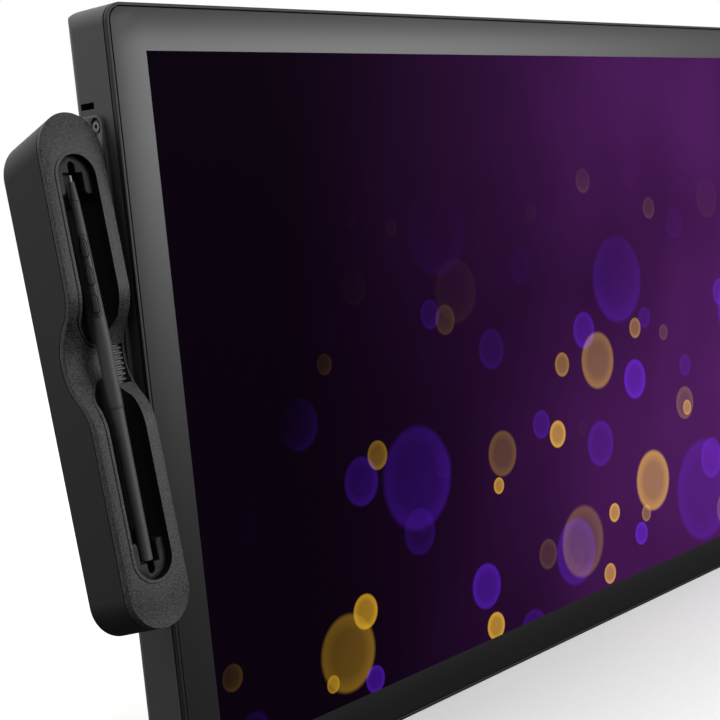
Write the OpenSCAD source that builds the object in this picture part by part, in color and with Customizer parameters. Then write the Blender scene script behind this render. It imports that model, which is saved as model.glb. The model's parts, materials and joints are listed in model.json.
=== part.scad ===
// Pen display with a side pen tray and a slim pen.
// The display stands upright: X runs along its width, Y into its depth, Z up.
// The origin is the centre of the rear bolt pattern, on the rear face. The screen faces -Y.

/* [Display housing] */
// Border between the picture and the display's left and right edges
border_x = 21.15; // [20.5:0.05:26]
// Border between the picture and the display's top and bottom edges
border_z = 21.7; // [20.5:0.05:26]
// Depth from the glass front to the rear face
disp_t = 31; // [30:0.5:34]
// Radius of the four front corners
corner_r = 9; // [7:0.5:13]
// Rounding of the rear edges
rear_edge_r = 5.5; // [4:0.5:6]
// Thickness of the rear cover's side walls
wall = 2; // [1.8:0.1:2.4]
// Thickness of the rear cover's back
back_wall = 2.5; // [2.2:0.1:3]
// Width of the lip around the glass
lip_w = 1.6; // [1.4:0.1:2]
// Open seam between the front frame and the rear cover
seam = 0.8; // [0.5:0.1:1]
// Depth of that seam
seam_depth = 0.8; // [0.5:0.1:1]
// Assembly clearance between pieces that slip together
fit = 0.3; // [0.2:0.05:0.4]

/* [Screen stack] */
// Thickness of the cover glass
glass_t = 2; // [1.6:0.1:2.4]
// Gap around the cover glass
glass_gap = 0.4; // [0.3:0.1:0.6]
// Width of the picture area
active_w = 596.7; // [575:0.1:600]
// Height of the picture area
active_h = 335.6; // [320:0.1:338]
// Rim of the panel beyond the picture area
panel_rim = 4; // [3:0.5:5]
// Thickness of the touch sensor sheet
touch_t = 0.4; // [0.3:0.1:0.6]
// Thickness of the liquid crystal panel
lcd_t = 1.8; // [1.4:0.1:2.2]
// Thickness of the backlight
backlight_t = 4.2; // [3.6:0.1:4.6]
// Thickness of the pen digitizer board
digitizer_t = 1; // [0.8:0.1:1.2]
// Thickness of the shield plate
shield_t = 0.6; // [0.5:0.1:0.8]
// Width of the shelf that carries the edge of the glass
shelf_w = 10; // [8:0.5:11]
// Thickness of the frame's inner flange
flange_t = 2.2; // [1.8:0.1:2.4]

/* [Chassis] */
// Thickness of the chassis plate
chassis_t = 1.5; // [1.2:0.1:1.8]
// Width of the chassis rim
rim_w = 8; // [6:0.5:9]
// Height of the standoffs that carry boards and fans
standoff_h = 3.5; // [3:0.1:4]
// Diameter of the standoffs
standoff_d = 8; // [7:0.5:9]
// Height of the stiffening ribs
rib_h = 3; // [2:0.1:3]
// Thickness of the stiffening ribs
rib_t = 1.6; // [1.2:0.1:2]
// Height of the chassis screw posts
post_h = 8.5; // [8:0.5:10]

/* [Fasteners] */
// Shank diameter of the housing and board screws
screw_d = 3; // [2.5:0.1:3.2]
// Head diameter of those screws
screw_head_d = 5.6; // [5:0.1:6]
// Head height of those screws
screw_head_h = 1.8; // [1.5:0.1:2]
// Radial clearance between a screw and its tapped hole
thread_fit = 0.05; // [0.03:0.01:0.08]
// Radial clearance between a screw and its through hole
screw_play = 0.2; // [0.15:0.05:0.3]
// Distance of the housing screws from the side edges
screw_inset_x = 24; // [20:1:30]
// Distance of the housing screws from the top and bottom edges
screw_inset_z = 17; // [15:1:19]
// Distance of the inner housing screws from the middle
screw_inner_x = 104; // [100:1:112]

/* [Rear bolts] */
// Spacing of the rear bolt pattern
vesa_pitch = 100; // [100:100:100]
// Diameter of the rear bolt holes
vesa_hole_d = 4; // [4:0.1:4.2]
// Diameter of the bosses around the bolt holes
vesa_boss_d = 9; // [8:0.5:10]
// Length of those bosses in front of the mounting plate
vesa_boss_l = 4.5; // [3:0.5:5]
// Width and height of the mounting plate
vesa_plate_w = 136; // [134:1:140]
// Thickness of the mounting plate
vesa_plate_t = 3; // [2.6:0.1:3.2]
// Diameter of the chassis legs under the mounting plate
vesa_leg_d = 10; // [9:0.5:10]

/* [Boards and cooling] */
// Thickness of the circuit boards
board_t = 1.6; // [1.2:0.1:1.8]
// Width of the main board
main_board_w = 220; // [212:1:232]
// Height of the main board
main_board_h = 96; // [92:1:100]
// Height of the processor on the main board
chip_h = 1.6; // [1:0.1:2]
// Width of the processor
chip_w = 24; // [18:1:30]
// Width of the heat spreader
spreader_w = 70; // [60:1:78]
// Height of the heat spreader's base
spreader_h = 50; // [40:1:56]
// Thickness of the heat spreader's base
spreader_t = 2; // [1.5:0.1:2.4]
// Height of the heat spreader's fins
fin_h = 4; // [3:0.1:4.4]
// Number of fins
fin_count = 12; // [8:1:14]
// Outer width of a fan
fan_w = 64; // [60:1:68]
// Depth of a fan
fan_t = 11; // [10:0.5:11.5]
// Distance of the fans from the middle
fan_x = 150; // [140:1:160]
// Height of the fans above the middle
fan_z = 62; // [55:1:70]
// Shaft diameter of the fan rotors
fan_shaft_d = 3; // [2.5:0.1:3.5]
// Number of fan blades
fan_blades = 9; // [7:1:11]
// Width of a vent slot
vent_w = 3; // [2:0.1:3.4]
// Length of a vent slot
vent_l = 26; // [22:1:28]
// Spacing of the vent slots
vent_pitch = 7; // [6:0.1:7.4]

/* [Port bay] */
// Width of the port bay
bay_w = 160; // [154:1:170]
// Height of the port bay
bay_h = 36; // [32:1:38]
// Depth of the port bay
bay_depth = 14; // [13:0.5:14.5]
// Distance of the bay's middle below the centre
bay_drop = 131; // [129:1:133]
// Length of the sockets
socket_l = 14; // [12:0.5:15]
// Wall of the socket shells
socket_wall = 0.6; // [0.5:0.1:0.8]

/* [Rear keys] */
// Width of a rear key
key_w = 14; // [12:0.5:16]
// Height of a rear key
key_h = 20; // [18:0.5:21]
// Spacing of the rear keys
key_pitch = 26; // [25:0.5:28]
// Distance of the key columns from the side edges
key_inset = 34.5; // [32:0.5:40]
// Height of the key columns' middle
key_z = 10; // [0:1:20]
// How far a key stands out of its trough's floor
key_rise = 1.2; // [0.8:0.1:1.6]
// Travel of a key
key_travel = 0.8; // [0.6:0.1:1]
// Width of the finger trough
trough_w = 28; // [26:0.5:30]
// Depth of the finger trough
trough_depth = 5; // [4.5:0.1:5.5]

/* [Top switches] */
// Distance of the power button from the right edge
power_inset = 57; // [55:1:60]
// Length of the power button
power_l = 10; // [8:0.5:12]
// Distance between the power button and the touch switch
touch_gap = 27; // [26:1:30]
// Length of the touch switch knob
touch_l = 5; // [4:0.5:6]
// Travel of the touch switch
touch_travel = 3; // [2:0.5:3]
// Width of both top controls
control_w = 4; // [3:0.5:5]
// How far both top controls stand out
control_rise = 0.8; // [0.6:0.1:1]
// Travel of the power button
power_travel = 0.6; // [0.4:0.1:0.8]

/* [Side fixings] */
// Height of the lock slot above the middle
lock_z = 145; // [142.5:0.5:150]
// Length of the lock slot
lock_l = 9.6; // [8:0.1:10]
// Width of the lock slot
lock_w = 3; // [2.5:0.1:3.2]
// Distance of the lock slot's middle from the rear face
lock_depth = 10.7; // [10:0.1:12]
// Thickness of the bracket plate
bracket_t = 2; // [1.8:0.1:2.4]
// Width of the bracket plate
bracket_w = 17; // [16:0.5:18]
// Length of the bracket plate
bracket_l = 228; // [224:1:230]
// Corner radius of the bracket plate
bracket_r = 5; // [4:0.5:6]
// Distance of the bracket's middle from the rear face
bracket_depth = 13.5; // [13:0.1:14]
// Distance between the two bracket screws
bracket_pitch = 217.8; // [214:0.1:218]
// Distance of the bracket screws from the rear face
bracket_screw_depth = 17.5; // [17:0.1:18]
// Head diameter of the bracket screws
bracket_head_d = 4.8; // [4.4:0.1:5]
// Depth of the oblong pocket around a bracket screw
bracket_pocket = 1.2; // [1:0.1:1.3]
// Outer diameter of the threaded inserts
insert_d = 5.6; // [5:0.1:6]
// Length of the threaded inserts
insert_l = 7; // [6:0.5:8]
// How much lower the spare inserts on the right side sit
right_drop = 6; // [5:0.5:8]

/* [Pen tray] */
// Width of the tray
tray_w = 33.8; // [33:0.2:36]
// Depth of the tray behind its front face
tray_depth = 30.5; // [29:0.5:32]
// Solid end of the tray beyond the pen channel
tray_end = 20; // [19.5:0.5:22]
// Backward lean of the tray
tray_lean = 7.65; // [5:0.05:9]
// How far the tray's front face stands before the glass
tray_front = 5.9; // [4:0.1:7]
// Height of the tray's middle above the centre
tray_z = 26.4; // [24:0.1:29]
// Gap between the tray and the bracket plate
tray_gap = 2.8; // [2.4:0.1:3.2]
// Backward slope of the tray's upper end
top_slope = 13; // [10:0.5:14]
// Forward slope of the tray's lower end
bottom_slope = 5.7; // [4:0.1:8]
// Wall of the tray shell
shell_wall = 2.2; // [2:0.1:2.4]
// Thickness of the tray cap's rim at the tray's middle
cap_t = 3.2; // [3:0.1:3.8]
// Lean of the parting plane between cap and shell against the tray's face
split_tilt = 0.55; // [0.3:0.05:0.6]
// Open groove between the tray cap and the shell
cap_groove = 0.5; // [0.4:0.1:0.8]
// Width of the pen channel
channel_w = 20.6; // [20:0.2:22]
// Height of the pen channel's middle above the tray's middle
channel_v = 1.6; // [0:0.1:2]
// Depth of the pen channel
channel_depth = 11; // [10.8:0.1:11.4]
// Radius of the pen channel's round bottom
trough_r = 11.6; // [11.4:0.1:12]
// Wall of the pen channel
channel_wall = 1.5; // [1.3:0.1:1.6]
// Height of the raised lip around the channel
channel_lip = 0.4; // [0.3:0.1:0.6]
// Depth of the finger scoop
scoop_depth = 12.6; // [12:0.1:13]
// Half of the finger scoop's length
scoop_half = 33; // [31:0.5:35]
// Radius of the finger scoop's hollow
scoop_r = 25.5; // [23:0.5:28]
// Height of the scoop's middle above the tray's middle
scoop_v = 5.5; // [4:0.5:7]
// Distance between the two screws that hold the tray on its bracket
tray_screw_pitch = 50; // [40:1:56]
// Depth of those screws behind the tray's front face
tray_screw_w = 22; // [21.5:0.1:22.5]
// Diameter of the cap's screw posts
cap_post_d = 6; // [5.5:0.1:6.4]

/* [Pen seats and nibs] */
// Distance of the seats' top below the tray face
seat_drop = 2.8; // [2.4:0.1:3.4]
// Length of a seat from the channel's end
seat_l = 18; // [16:0.5:20]
// Width of the pen slot in a seat
seat_slot_w = 10.4; // [9.8:0.1:11.4]
// Width of the narrow nib slot
nib_slot_w = 3.4; // [3:0.1:3.8]
// Length of the narrow nib slot
nib_slot_l = 5; // [4.6:0.1:5.6]
// Number of spare nibs
nib_count = 7; // [5:1:7]
// Spacing of the spare nibs
nib_pitch = 2.4; // [2.2:0.05:2.45]
// Diameter of a spare nib
spare_nib_d = 1.5; // [1.3:0.1:1.6]
// Height of the nib rack's middle above the tray's middle
rack_v = 3; // [2:0.5:5]
// Length of the nib rack's pocket
rack_l = 18; // [17.8:0.1:19]
// Depth of the rack pocket's floor below the tray face
rack_floor = 15; // [14.8:0.1:15.6]
// Thickness of the nib rack
rack_t = 1.2; // [1:0.1:1.4]

/* [Pen] */
// Length of the pen
pen_l = 175; // [166:1:182]
// Depth of the pen's axis below the tray face
pen_w = 5; // [4.5:0.1:5.5]
// Turn of the pen in its seats, buttons to the left
pen_roll = 42; // [30:1:60]
// Free space beyond each end of the pen
pen_room = 8.5; // [8.2:0.1:9.5]
// Length of the nib that shows
nib_l = 3; // [2.5:0.1:3.5]
// Diameter of the nib's shaft
nib_d = 1.2; // [1:0.1:1.3]
// Travel of the nib
nib_travel = 0.5; // [0.3:0.1:0.6]
// Running gap around the pen's moving pieces
pen_play = 0.3; // [0.25:0.05:0.35]
// Distance from the tip to the nose seam
nose_end = 12; // [11:0.5:13]
// Diameter of the nose at its tip
nose_tip_d = 2.6; // [2.4:0.1:3]
// Diameter at the nose seam
nose_d = 4; // [3.8:0.1:4.4]
// Distance from the tip to the start of the switch plate
plate_start = 27; // [26:0.5:29]
// Diameter there
neck_d = 4.9; // [4.8:0.1:5.2]
// Length of the switch plate
plate_l = 38; // [36:0.5:40]
// Width of the switch plate
plate_w = 4.2; // [4:0.1:4.3]
// Distance from the tip to the thickest part
belly_at = 78; // [74:1:84]
// Diameter of the thickest part
belly_d = 7; // [6.8:0.1:7.4]
// Distance from the tip to the barrel seam
barrel_end = 106; // [100:1:110]
// Diameter of the front barrel at that seam
barrel_end_d = 6.7; // [6.5:0.1:7]
// Diameter of the rear barrel at that seam
tail_d = 6.3; // [6:0.1:6.5]
// Diameter of the rear barrel's end
tail_end_d = 5.5; // [5:0.1:5.8]
// Diameter of the barrel's bore
pen_bore_d = 2.6; // [2.5:0.1:2.7]
// Width of a pen button
pen_button_w = 3; // [2.8:0.1:3.2]
// Length of a pen button
pen_button_l = 8.4; // [7.5:0.1:9]
// Spacing of the pen buttons
pen_button_pitch = 12.6; // [12:0.1:13]
// Travel of a pen button
pen_button_travel = 0.3; // [0.2:0.05:0.3]

/* [Hidden] */
$fn = 64;
eps = 0.01;
over = 1;
// Depth levels behind the glass front
s_seam = glass_t + seam;
s_flange = s_seam + flange_t;
s_touch = glass_t + touch_t;
s_lcd = s_touch + lcd_t;
s_light = s_lcd + backlight_t;
s_digitizer = s_light + digitizer_t;
s_shield = s_digitizer + shield_t;
s_chassis = s_shield + chassis_t;
s_stand = s_chassis + standoff_h;
s_board = s_stand + board_t;
s_post = s_chassis + post_h;
s_back = disp_t - back_wall;
s_vesa = s_back - vesa_plate_t;
s_bay = disp_t - bay_depth;
s_trough = disp_t - trough_depth;
s_trough_in = s_trough - back_wall;
// Panel sizes
disp_w = active_w + 2 * border_x;
disp_h = active_h + 2 * border_z;
panel_w = active_w + 2 * panel_rim;
panel_h = active_h + 2 * panel_rim;
glass_w = disp_w - 2 * (lip_w + glass_gap);
glass_h = disp_h - 2 * (lip_w + glass_gap);
frame_in = lip_w + glass_gap + shelf_w;
inner_w = disp_w - 2 * (wall + fit);
inner_h = disp_h - 2 * (wall + fit);
inner_r = corner_r - wall - fit;
opening_r = 2;
// Chassis ribs and cable windows
rib_columns = [85, 200, 250];
rib_rows = [-165, 120];
rib_gap = 0.5;
side_window = [30, 70];
side_window_at = [225, -90];
top_window = [120, 26];
top_window_z = 145;
window_r = 4;
// Keys, from the trough's floor inwards
key_flange = 1.5;
key_stem = 0.6;
key_stem_d = 5;
dome_h = 0.8;
dome_gap = 0.2;
s_flange_key = s_trough_in - key_flange;
s_stem_key = s_flange_key - key_stem;
s_dome = s_stem_key - key_travel - dome_gap;
s_key_board = s_dome - dome_h - board_t;
key_x = disp_w / 2 - key_inset;
key_count = 4;
key_r = 3;
key_lip = 1.5;
key_board_margin = 4;
key_board_w = trough_w - key_board_margin;
key_board_l = key_count * key_pitch + key_board_margin;
key_post_z = key_board_l / 2 - standoff_d;
key_posts_at = [for (x = [-1, 1], z = [-1, 1]) [x * key_x, key_z + z * key_post_z]];
trough_margin = 18;
trough_l = key_count * key_pitch + trough_margin;
// Port bay and sockets
bay_top = bay_h / 2 - bay_drop;
bay_r = 4;
board_z = bay_top + wall + fit + main_board_h / 2;
board_r = 3;
// Place along the bay, width and height of each socket
power_at = [-62, 10, 9];
wide_video_at = [-36, 15.2, 6.2];
small_video_at = [-12, 9, 6.2];
usb_c_at = [[10, 10, 4.4], [28, 10, 4.4]];
usb_a_at = [54, 14.4, 7];
socket_back = 2;
tongue_margin = 2;
tongue_sink = 1;
video_tongue = 1.6;
usb_c_tongue = 0.8;
usb_a_tongue = 2;
jack_d = 6.4;
jack_pin_d = 2;
// Screw places
screw_z = disp_h / 2 - screw_inset_z;
screw_columns = [disp_w / 2 - screw_inset_x, screw_inner_x];
housing_screws_at = [for (column = screw_columns, x = [-1, 1], z = [-1, 1]) [x * column, z * screw_z]];
screw_end_gap = 1;
board_corner = [main_board_w / 2 - standoff_d, main_board_h / 2 - standoff_d];
board_screws_at = [for (x = [-1, 1], z = [-1, 1]) [x * board_corner[0], board_z + z * board_corner[1]]];
board_screw_l = 3;
vesa_holes_at = [for (x = [-1, 1], z = [-1, 1]) [x * vesa_pitch / 2, z * vesa_pitch / 2]];
vesa_leg_at = vesa_plate_w / 2 - vesa_leg_d;
vesa_legs_at = [for (x = [-1, 1], z = [-1, 1]) [x * vesa_leg_at, z * vesa_leg_at]];
vesa_screw_l = 9;
vesa_plate_r = 6;
// Fans and vents
fans_at = [[-fan_x, fan_z], [fan_x, fan_z]];
fan_r = 6;
fan_wall = 3;
fan_floor = 1.5;
fan_outlet_w = fan_w * 0.6;
fan_post_d = 8;
fan_post_h = 3.5;
fan_end_gap = 0.5;
fan_corner = fan_w / 2 - standoff_d / 2 - 2;
rotor_h = 4;
rotor_hub_d = 24;
blade_t = 1.2;
blade_root = 2;
blade_offset = 3;
blade_sweep = 20;
blade_tip_gap = 2;
fin_margin = 4;
vent_margin = 8;
vent_row_gap = 1;
top_vent_count = 8;
top_vent_l = disp_t / 2 - 3;
// Top controls
top_z = disp_h / 2;
control_s = disp_t / 2 + 3;
control_flange = 1;
control_lip = 1.5;
control_r = control_w / 2 - 0.1;
power_x = disp_w / 2 - power_inset;
touch_x = power_x - touch_gap;
switch_board_drop = 11;
switch_board_z = top_z - wall - switch_board_drop;
switch_board_x = (power_x + touch_x) / 2;
switch_board_margin = 24;
switch_board_w = touch_gap + switch_board_margin;
switch_board_d = 11;
switch_rib = 1.6;
switch_ledge_w = 3;
switch_ledge_h = 4;
power_stem_d = 3;
power_dome_d = 4;
touch_stem_d = 2;
slider_w = 6;
slider_d = 4;
slider_h = 3;
// Bracket and tray
side_x = disp_w / 2;
bracket_slot_l = 8;
bracket_slot_w = 6.4;
bracket_slack = 1.6;
hex_d = 2.2;
hex_depth = 0.8;
head_sink = 0.1;
insert_boss_wall = 2;
insert_boss_d = insert_d + 2 * insert_boss_wall;
tray_x = -(side_x + bracket_t + tray_gap + tray_w / 2);
channel_l = pen_l + 2 * pen_room;
tray_l = channel_l + 2 * tray_end;
tray_r = tray_w / 2;
end_centre = tray_l / 2 - tray_r;
scoop_sum = (scoop_half * scoop_half + scoop_depth * scoop_depth) / (2 * scoop_depth);
shoulder_r = scoop_sum - scoop_r;
hollow_w = scoop_depth - scoop_r;
scoop_join = hollow_w + scoop_r * (shoulder_r - hollow_w) / scoop_sum;
lip_tail = 0.3;
skirt_t = 1.4;
skirt_l = 3;
cap_post_v = channel_l / 2 + channel_wall + cap_post_d / 2 + fit;
cap_screw_d = 2.4;
cap_head_d = 4.6;
cap_head_h = 1.1;
cap_screw_l = 12;
cap_screw_end_gap = 2;
tray_screw_head_d = 5;
tray_screw_head_h = 1.8;
tray_screw_end_gap = 0.2;
pad_w = 12;
pad_margin = 14;
pad_l = tray_screw_pitch + pad_margin;
// Seats and nib rack
end_gap = 0.6;
seat_end = pen_l / 2 + end_gap;
seat_tongue = 5;
seat_inner = channel_l / 2 - seat_l - seat_tongue;
seat_floor = pen_w + tail_r(pen_l / 2 + seat_inner) + pen_play;
rack_edge = 1.2;
rack_w = 7.2;
rack_u = tray_r - rack_edge - rack_w / 2;
rack_fit = 0.1;
spare_nib_l = rack_w - 0.6;
spare_nib_w = rack_floor - rack_t - spare_nib_d * 0.1;
// Pen
nib_tip_r = 0.35;
nib_shaft_end = plate_start - 2;
pocket_y = 0.6;
plate_sink = 0.15;
plate_fit = 0.05;
button_rise = 0.35;
foot_gap = 0.1;
button_foot = pocket_y + pen_button_travel + foot_gap;
plate_mid = plate_start + plate_l / 2;
plug_l = 6;
barrel_turn = -60;
tail_chamfer = 0.4;
pen_board_gap = 0.2;
pen_board_w = 1.9;
pen_board_t = 0.7;

// Y of a plane that lies s behind the glass front
function sy(s) = s - disp_t;

// Height of a rear key's middle
function key_at(i) = key_z + (i - (key_count - 1) / 2) * key_pitch;

// Place of a cap post along the tray
function cap_post_at(k) = channel_v + k * cap_post_v;

// Height of a bracket screw
function bracket_screw_z(k) = tray_z + k * bracket_pitch / 2;

// Radius of the pen's rear barrel at a distance from the tip
function tail_r(t) = (tail_d + (tail_end_d - tail_d) * (t - barrel_end) / (pen_l - barrel_end)) / 2;

// Middle of a pen button, from the tip
function button_at(i) = plate_mid + (i - 1) * pen_button_pitch;

// Rounded rectangle about the origin
module rrect(w, h, r) {
    square([w - 2 * r, h], center = true);
    square([w, h - 2 * r], center = true);
    for (x = [-1, 1], y = [-1, 1])
        translate([x * (w / 2 - r), y * (h / 2 - r)]) circle(r);
}

// Slot with round ends, long along its second axis
module stadium(w, l) {
    square([w, l - w], center = true);
    for (y = [-1, 1]) translate([0, y * (l - w) / 2]) circle(w / 2);
}

// Plate with an outline in X and Z, between two depths
module layer(s0, s1) {
    translate([0, sy(s1), 0]) rotate([90, 0, 0]) linear_extrude(s1 - s0) children();
}

// Round bar along Y between two depths
module bar(at, s0, s1, d) {
    translate([at[0], sy(s1), at[1]]) rotate([90, 0, 0]) cylinder(d = d, h = s1 - s0);
}

// Screw along Y: its head ends at depth s_head
module screw_y(at, s_head, l) {
    bar(at, s_head - screw_head_h, s_head, screw_head_d);
    bar(at, s_head - screw_head_h - l, s_head - screw_head_h, screw_d);
}

// Plate with an outline in Y and Z, between two places along X
module side_layer(x0, x1) {
    translate([x0, 0, 0]) rotate([90, 0, 90]) linear_extrude(x1 - x0) children();
}

// Screen stack

module cover_glass() {
    color("#2b2b2e") layer(0, glass_t) rrect(glass_w, glass_h, corner_r - lip_w - glass_gap);
}

module frame_opening() {
    rrect(disp_w - 2 * frame_in, disp_h - 2 * frame_in, opening_r);
}

module front_frame() {
    color("#5a5a5c") {
        layer(0, glass_t) difference() {
            rrect(disp_w, disp_h, corner_r);
            rrect(disp_w - 2 * lip_w, disp_h - 2 * lip_w, corner_r - lip_w);
        }
        layer(glass_t, s_seam) difference() {
            rrect(disp_w - 2 * seam_depth, disp_h - 2 * seam_depth, corner_r - seam_depth);
            frame_opening();
        }
        layer(s_seam, s_flange) difference() {
            rrect(inner_w, inner_h, inner_r);
            frame_opening();
        }
    }
}

module touch_sensor() {
    color("#3a3d40") layer(glass_t, s_touch) square([panel_w, panel_h], center = true);
}

module lcd_panel() {
    color("#241030") layer(s_touch, s_lcd) square([panel_w, panel_h], center = true);
}

module backlight() {
    color("#e8e8e2") layer(s_lcd, s_light) square([panel_w, panel_h], center = true);
}

module digitizer_board() {
    color("#1f5a38") layer(s_light, s_digitizer) square([panel_w, panel_h], center = true);
}

module shield_plate() {
    color("#9a9da0") layer(s_digitizer, s_shield) square([panel_w, panel_h], center = true);
}

// Chassis

module ribs() {
    for (x = rib_columns, side = [-1, 1])
        translate([side * x, 0]) square([rib_t, 2 * (switch_board_z - rib_gap)], center = true);
    for (z = rib_rows) translate([0, z]) square([inner_w - 2 * rim_w, rib_t], center = true);
}

module cable_windows() {
    for (side = [-1, 1])
        translate([side * side_window_at[0], side_window_at[1]])
            rrect(side_window[0], side_window[1], window_r);
    translate([0, top_window_z]) rrect(top_window[0], top_window[1], window_r);
}

module mid_chassis() {
    color("#b0b3b6") difference() {
        union() {
            layer(s_flange, s_shield) difference() {
                rrect(inner_w, inner_h, inner_r);
                rrect(inner_w - 2 * rim_w, inner_h - 2 * rim_w, opening_r);
            }
            layer(s_shield, s_chassis) rrect(inner_w, inner_h, inner_r);
            layer(s_chassis - eps, s_chassis + rib_h) ribs();
            for (at = housing_screws_at) bar(at, s_chassis - eps, s_post, standoff_d);
            for (at = board_screws_at) bar(at, s_chassis - eps, s_stand, standoff_d);
            for (at = vesa_legs_at) bar(at, s_chassis - eps, s_vesa, vesa_leg_d);
            for (f = fans_at, x = [-1, 1], z = [-1, 1])
                bar([f[0] + x * fan_corner, f[1] + z * fan_corner], s_chassis - eps, s_stand, standoff_d);
            for (at = key_posts_at) bar(at, s_chassis - eps, s_key_board, standoff_d);
        }
        layer(s_shield - over, s_chassis + rib_h + over) cable_windows();
        for (at = housing_screws_at) bar(at, s_chassis, s_post + over, screw_d + 2 * thread_fit);
        for (at = board_screws_at) bar(at, s_chassis, s_stand + over, screw_d + 2 * thread_fit);
        for (at = vesa_legs_at) bar(at, s_chassis, s_vesa + over, screw_d + 2 * thread_fit);
        side_bores(insert_boss_d + 2 * fit, -over, wall + fit + rim_w + over);
    }
}

module housing_screws() {
    seat = s_back - screw_head_h;
    color("#8c8f92") for (at = housing_screws_at) screw_y(at, s_back, seat - s_chassis - screw_end_gap);
}

// Rear cover

// Side view of the cover with its rounded rear corners
module cover_profile(span) {
    front = sy(s_seam);
    translate([front, -span / 2]) square([-front - rear_edge_r, span]);
    translate([-rear_edge_r - eps, rear_edge_r - span / 2])
        square([rear_edge_r + eps, span - 2 * rear_edge_r]);
    for (k = [-1, 1]) translate([-rear_edge_r, k * (span / 2 - rear_edge_r)]) circle(rear_edge_r);
}

module cover_blank() {
    intersection() {
        layer(s_seam, disp_t) rrect(disp_w, disp_h, corner_r);
        side_layer(-side_x - over, side_x + over) cover_profile(disp_h);
        translate([0, 0, -top_z - over]) linear_extrude(disp_h + 2 * over) rotate(90) cover_profile(disp_w);
    }
}

module bay_outline(grow) {
    translate([0, -bay_drop]) rrect(bay_w + 2 * grow, bay_h + 2 * grow, bay_r + grow);
}

module trough_outline(side, grow) {
    translate([side * key_x, key_z]) stadium(trough_w + 2 * grow, trough_l + 2 * grow);
}

module key_outline(side, i, grow) {
    translate([side * key_x, key_at(i)]) rrect(key_w + 2 * grow, key_h + 2 * grow, key_r);
}

// Block through the bay's upper wall at a socket, grown by a clearance
module socket_block(at, grow) {
    translate([at[0] - at[1] / 2 - grow, sy(s_board) - grow, bay_top])
        cube([at[1] + 2 * grow, at[2] + 2 * grow, socket_l]);
}

module socket_openings() {
    intersection() {
        union() {
            for (at = concat([power_at, wide_video_at, small_video_at, usb_a_at], usb_c_at))
                socket_block(at, fit / 2);
        }
        translate([-bay_w, sy(0), bay_top - over]) cube([2 * bay_w, disp_t, wall + 2 * over]);
    }
}

module vent_field() {
    count = floor((fan_w - vent_margin) / vent_pitch);
    row_z = (vent_l + vent_w + vent_row_gap) / 2;
    for (f = fans_at, row = [-1, 1], i = [0 : count - 1])
        translate([f[0] + (i - (count - 1) / 2) * vent_pitch, f[1] + row * row_z]) stadium(vent_w, vent_l);
}

// Exhaust slots through the top wall above the fans
module top_vents() {
    for (f = fans_at, i = [0 : top_vent_count - 1])
        translate([f[0] + (i - (top_vent_count - 1) / 2) * vent_pitch, -disp_t / 2])
            stadium(vent_w, top_vent_l);
}

module control_outline(x, l, grow) {
    translate([x, sy(control_s)]) rrect(l + 2 * grow, control_w + 2 * grow, control_r);
}

module side_bores(d, x0, x1) {
    for (side = [-1, 1], k = [-1, 1])
        translate([side > 0 ? side_x - x1 : x0 - side_x, -bracket_screw_depth,
                   bracket_screw_z(k) - (side > 0 ? right_drop : 0)])
            rotate([0, 90, 0]) cylinder(d = d, h = x1 - x0);
}

module rear_cover() {
    head_hole_d = screw_head_d + 2 * screw_play;
    color("#4a4a4c") difference() {
        union() {
            difference() {
                cover_blank();
                layer(s_seam - over, s_back) rrect(disp_w - 2 * wall, disp_h - 2 * wall, corner_r - wall);
            }
            layer(s_bay - wall, s_back + eps) bay_outline(wall);
            for (side = [-1, 1]) layer(s_trough_in, s_back + eps) trough_outline(side, wall);
            for (at = housing_screws_at) bar(at, s_post, s_back + eps, standoff_d);
            side_bores(insert_boss_d, wall - eps, insert_l + over);
            for (k = [-1, 1])
                translate([switch_board_x + k * (switch_board_w / 2 + switch_rib / 2) - switch_rib / 2,
                           sy(control_s) - switch_board_d / 2, switch_board_z - switch_ledge_h])
                    cube([switch_rib, switch_board_d, switch_board_drop + switch_ledge_h + eps]);
            for (k = [-1, 1])
                translate([switch_board_x + k * (switch_board_w - switch_ledge_w) / 2 - switch_ledge_w / 2,
                           sy(control_s) - switch_board_d / 2, switch_board_z - switch_ledge_h])
                    cube([switch_ledge_w, switch_board_d, switch_ledge_h]);
        }
        layer(s_bay, disp_t + over) bay_outline(0);
        socket_openings();
        for (side = [-1, 1]) layer(s_trough, disp_t + over) trough_outline(side, 0);
        for (side = [-1, 1], i = [0 : key_count - 1])
            layer(s_trough_in - over, s_trough + over) key_outline(side, i, fit);
        for (at = vesa_holes_at) bar(at, s_back - over, disp_t + over, vesa_boss_d + 2 * fit);
        for (at = housing_screws_at) {
            bar(at, s_post - over, disp_t + over, screw_d + 2 * screw_play);
            bar(at, s_back - screw_head_h, disp_t + over, head_hole_d);
        }
        layer(s_back - over, disp_t + over) vent_field();
        translate([0, 0, top_z - wall - over]) linear_extrude(wall + 2 * over) {
            top_vents();
            control_outline(power_x, power_l, fit);
            control_outline(touch_x, touch_l, fit);
            control_outline(touch_x + touch_travel, touch_l, fit);
        }
        translate([-side_x - over, -lock_depth - lock_l / 2, lock_z - lock_w / 2])
            cube([wall + 2 * over, lock_l, lock_w]);
        side_bores(insert_d, -over, insert_l + 2 * over);
    }
}

// Threaded inserts in the side walls, two on each side
module side_inserts() {
    color("#b08d4a") difference() {
        side_bores(insert_d, 0, insert_l);
        side_bores(screw_d + 2 * thread_fit, -over, insert_l + over);
    }
}

// Rear bolt pattern

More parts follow.
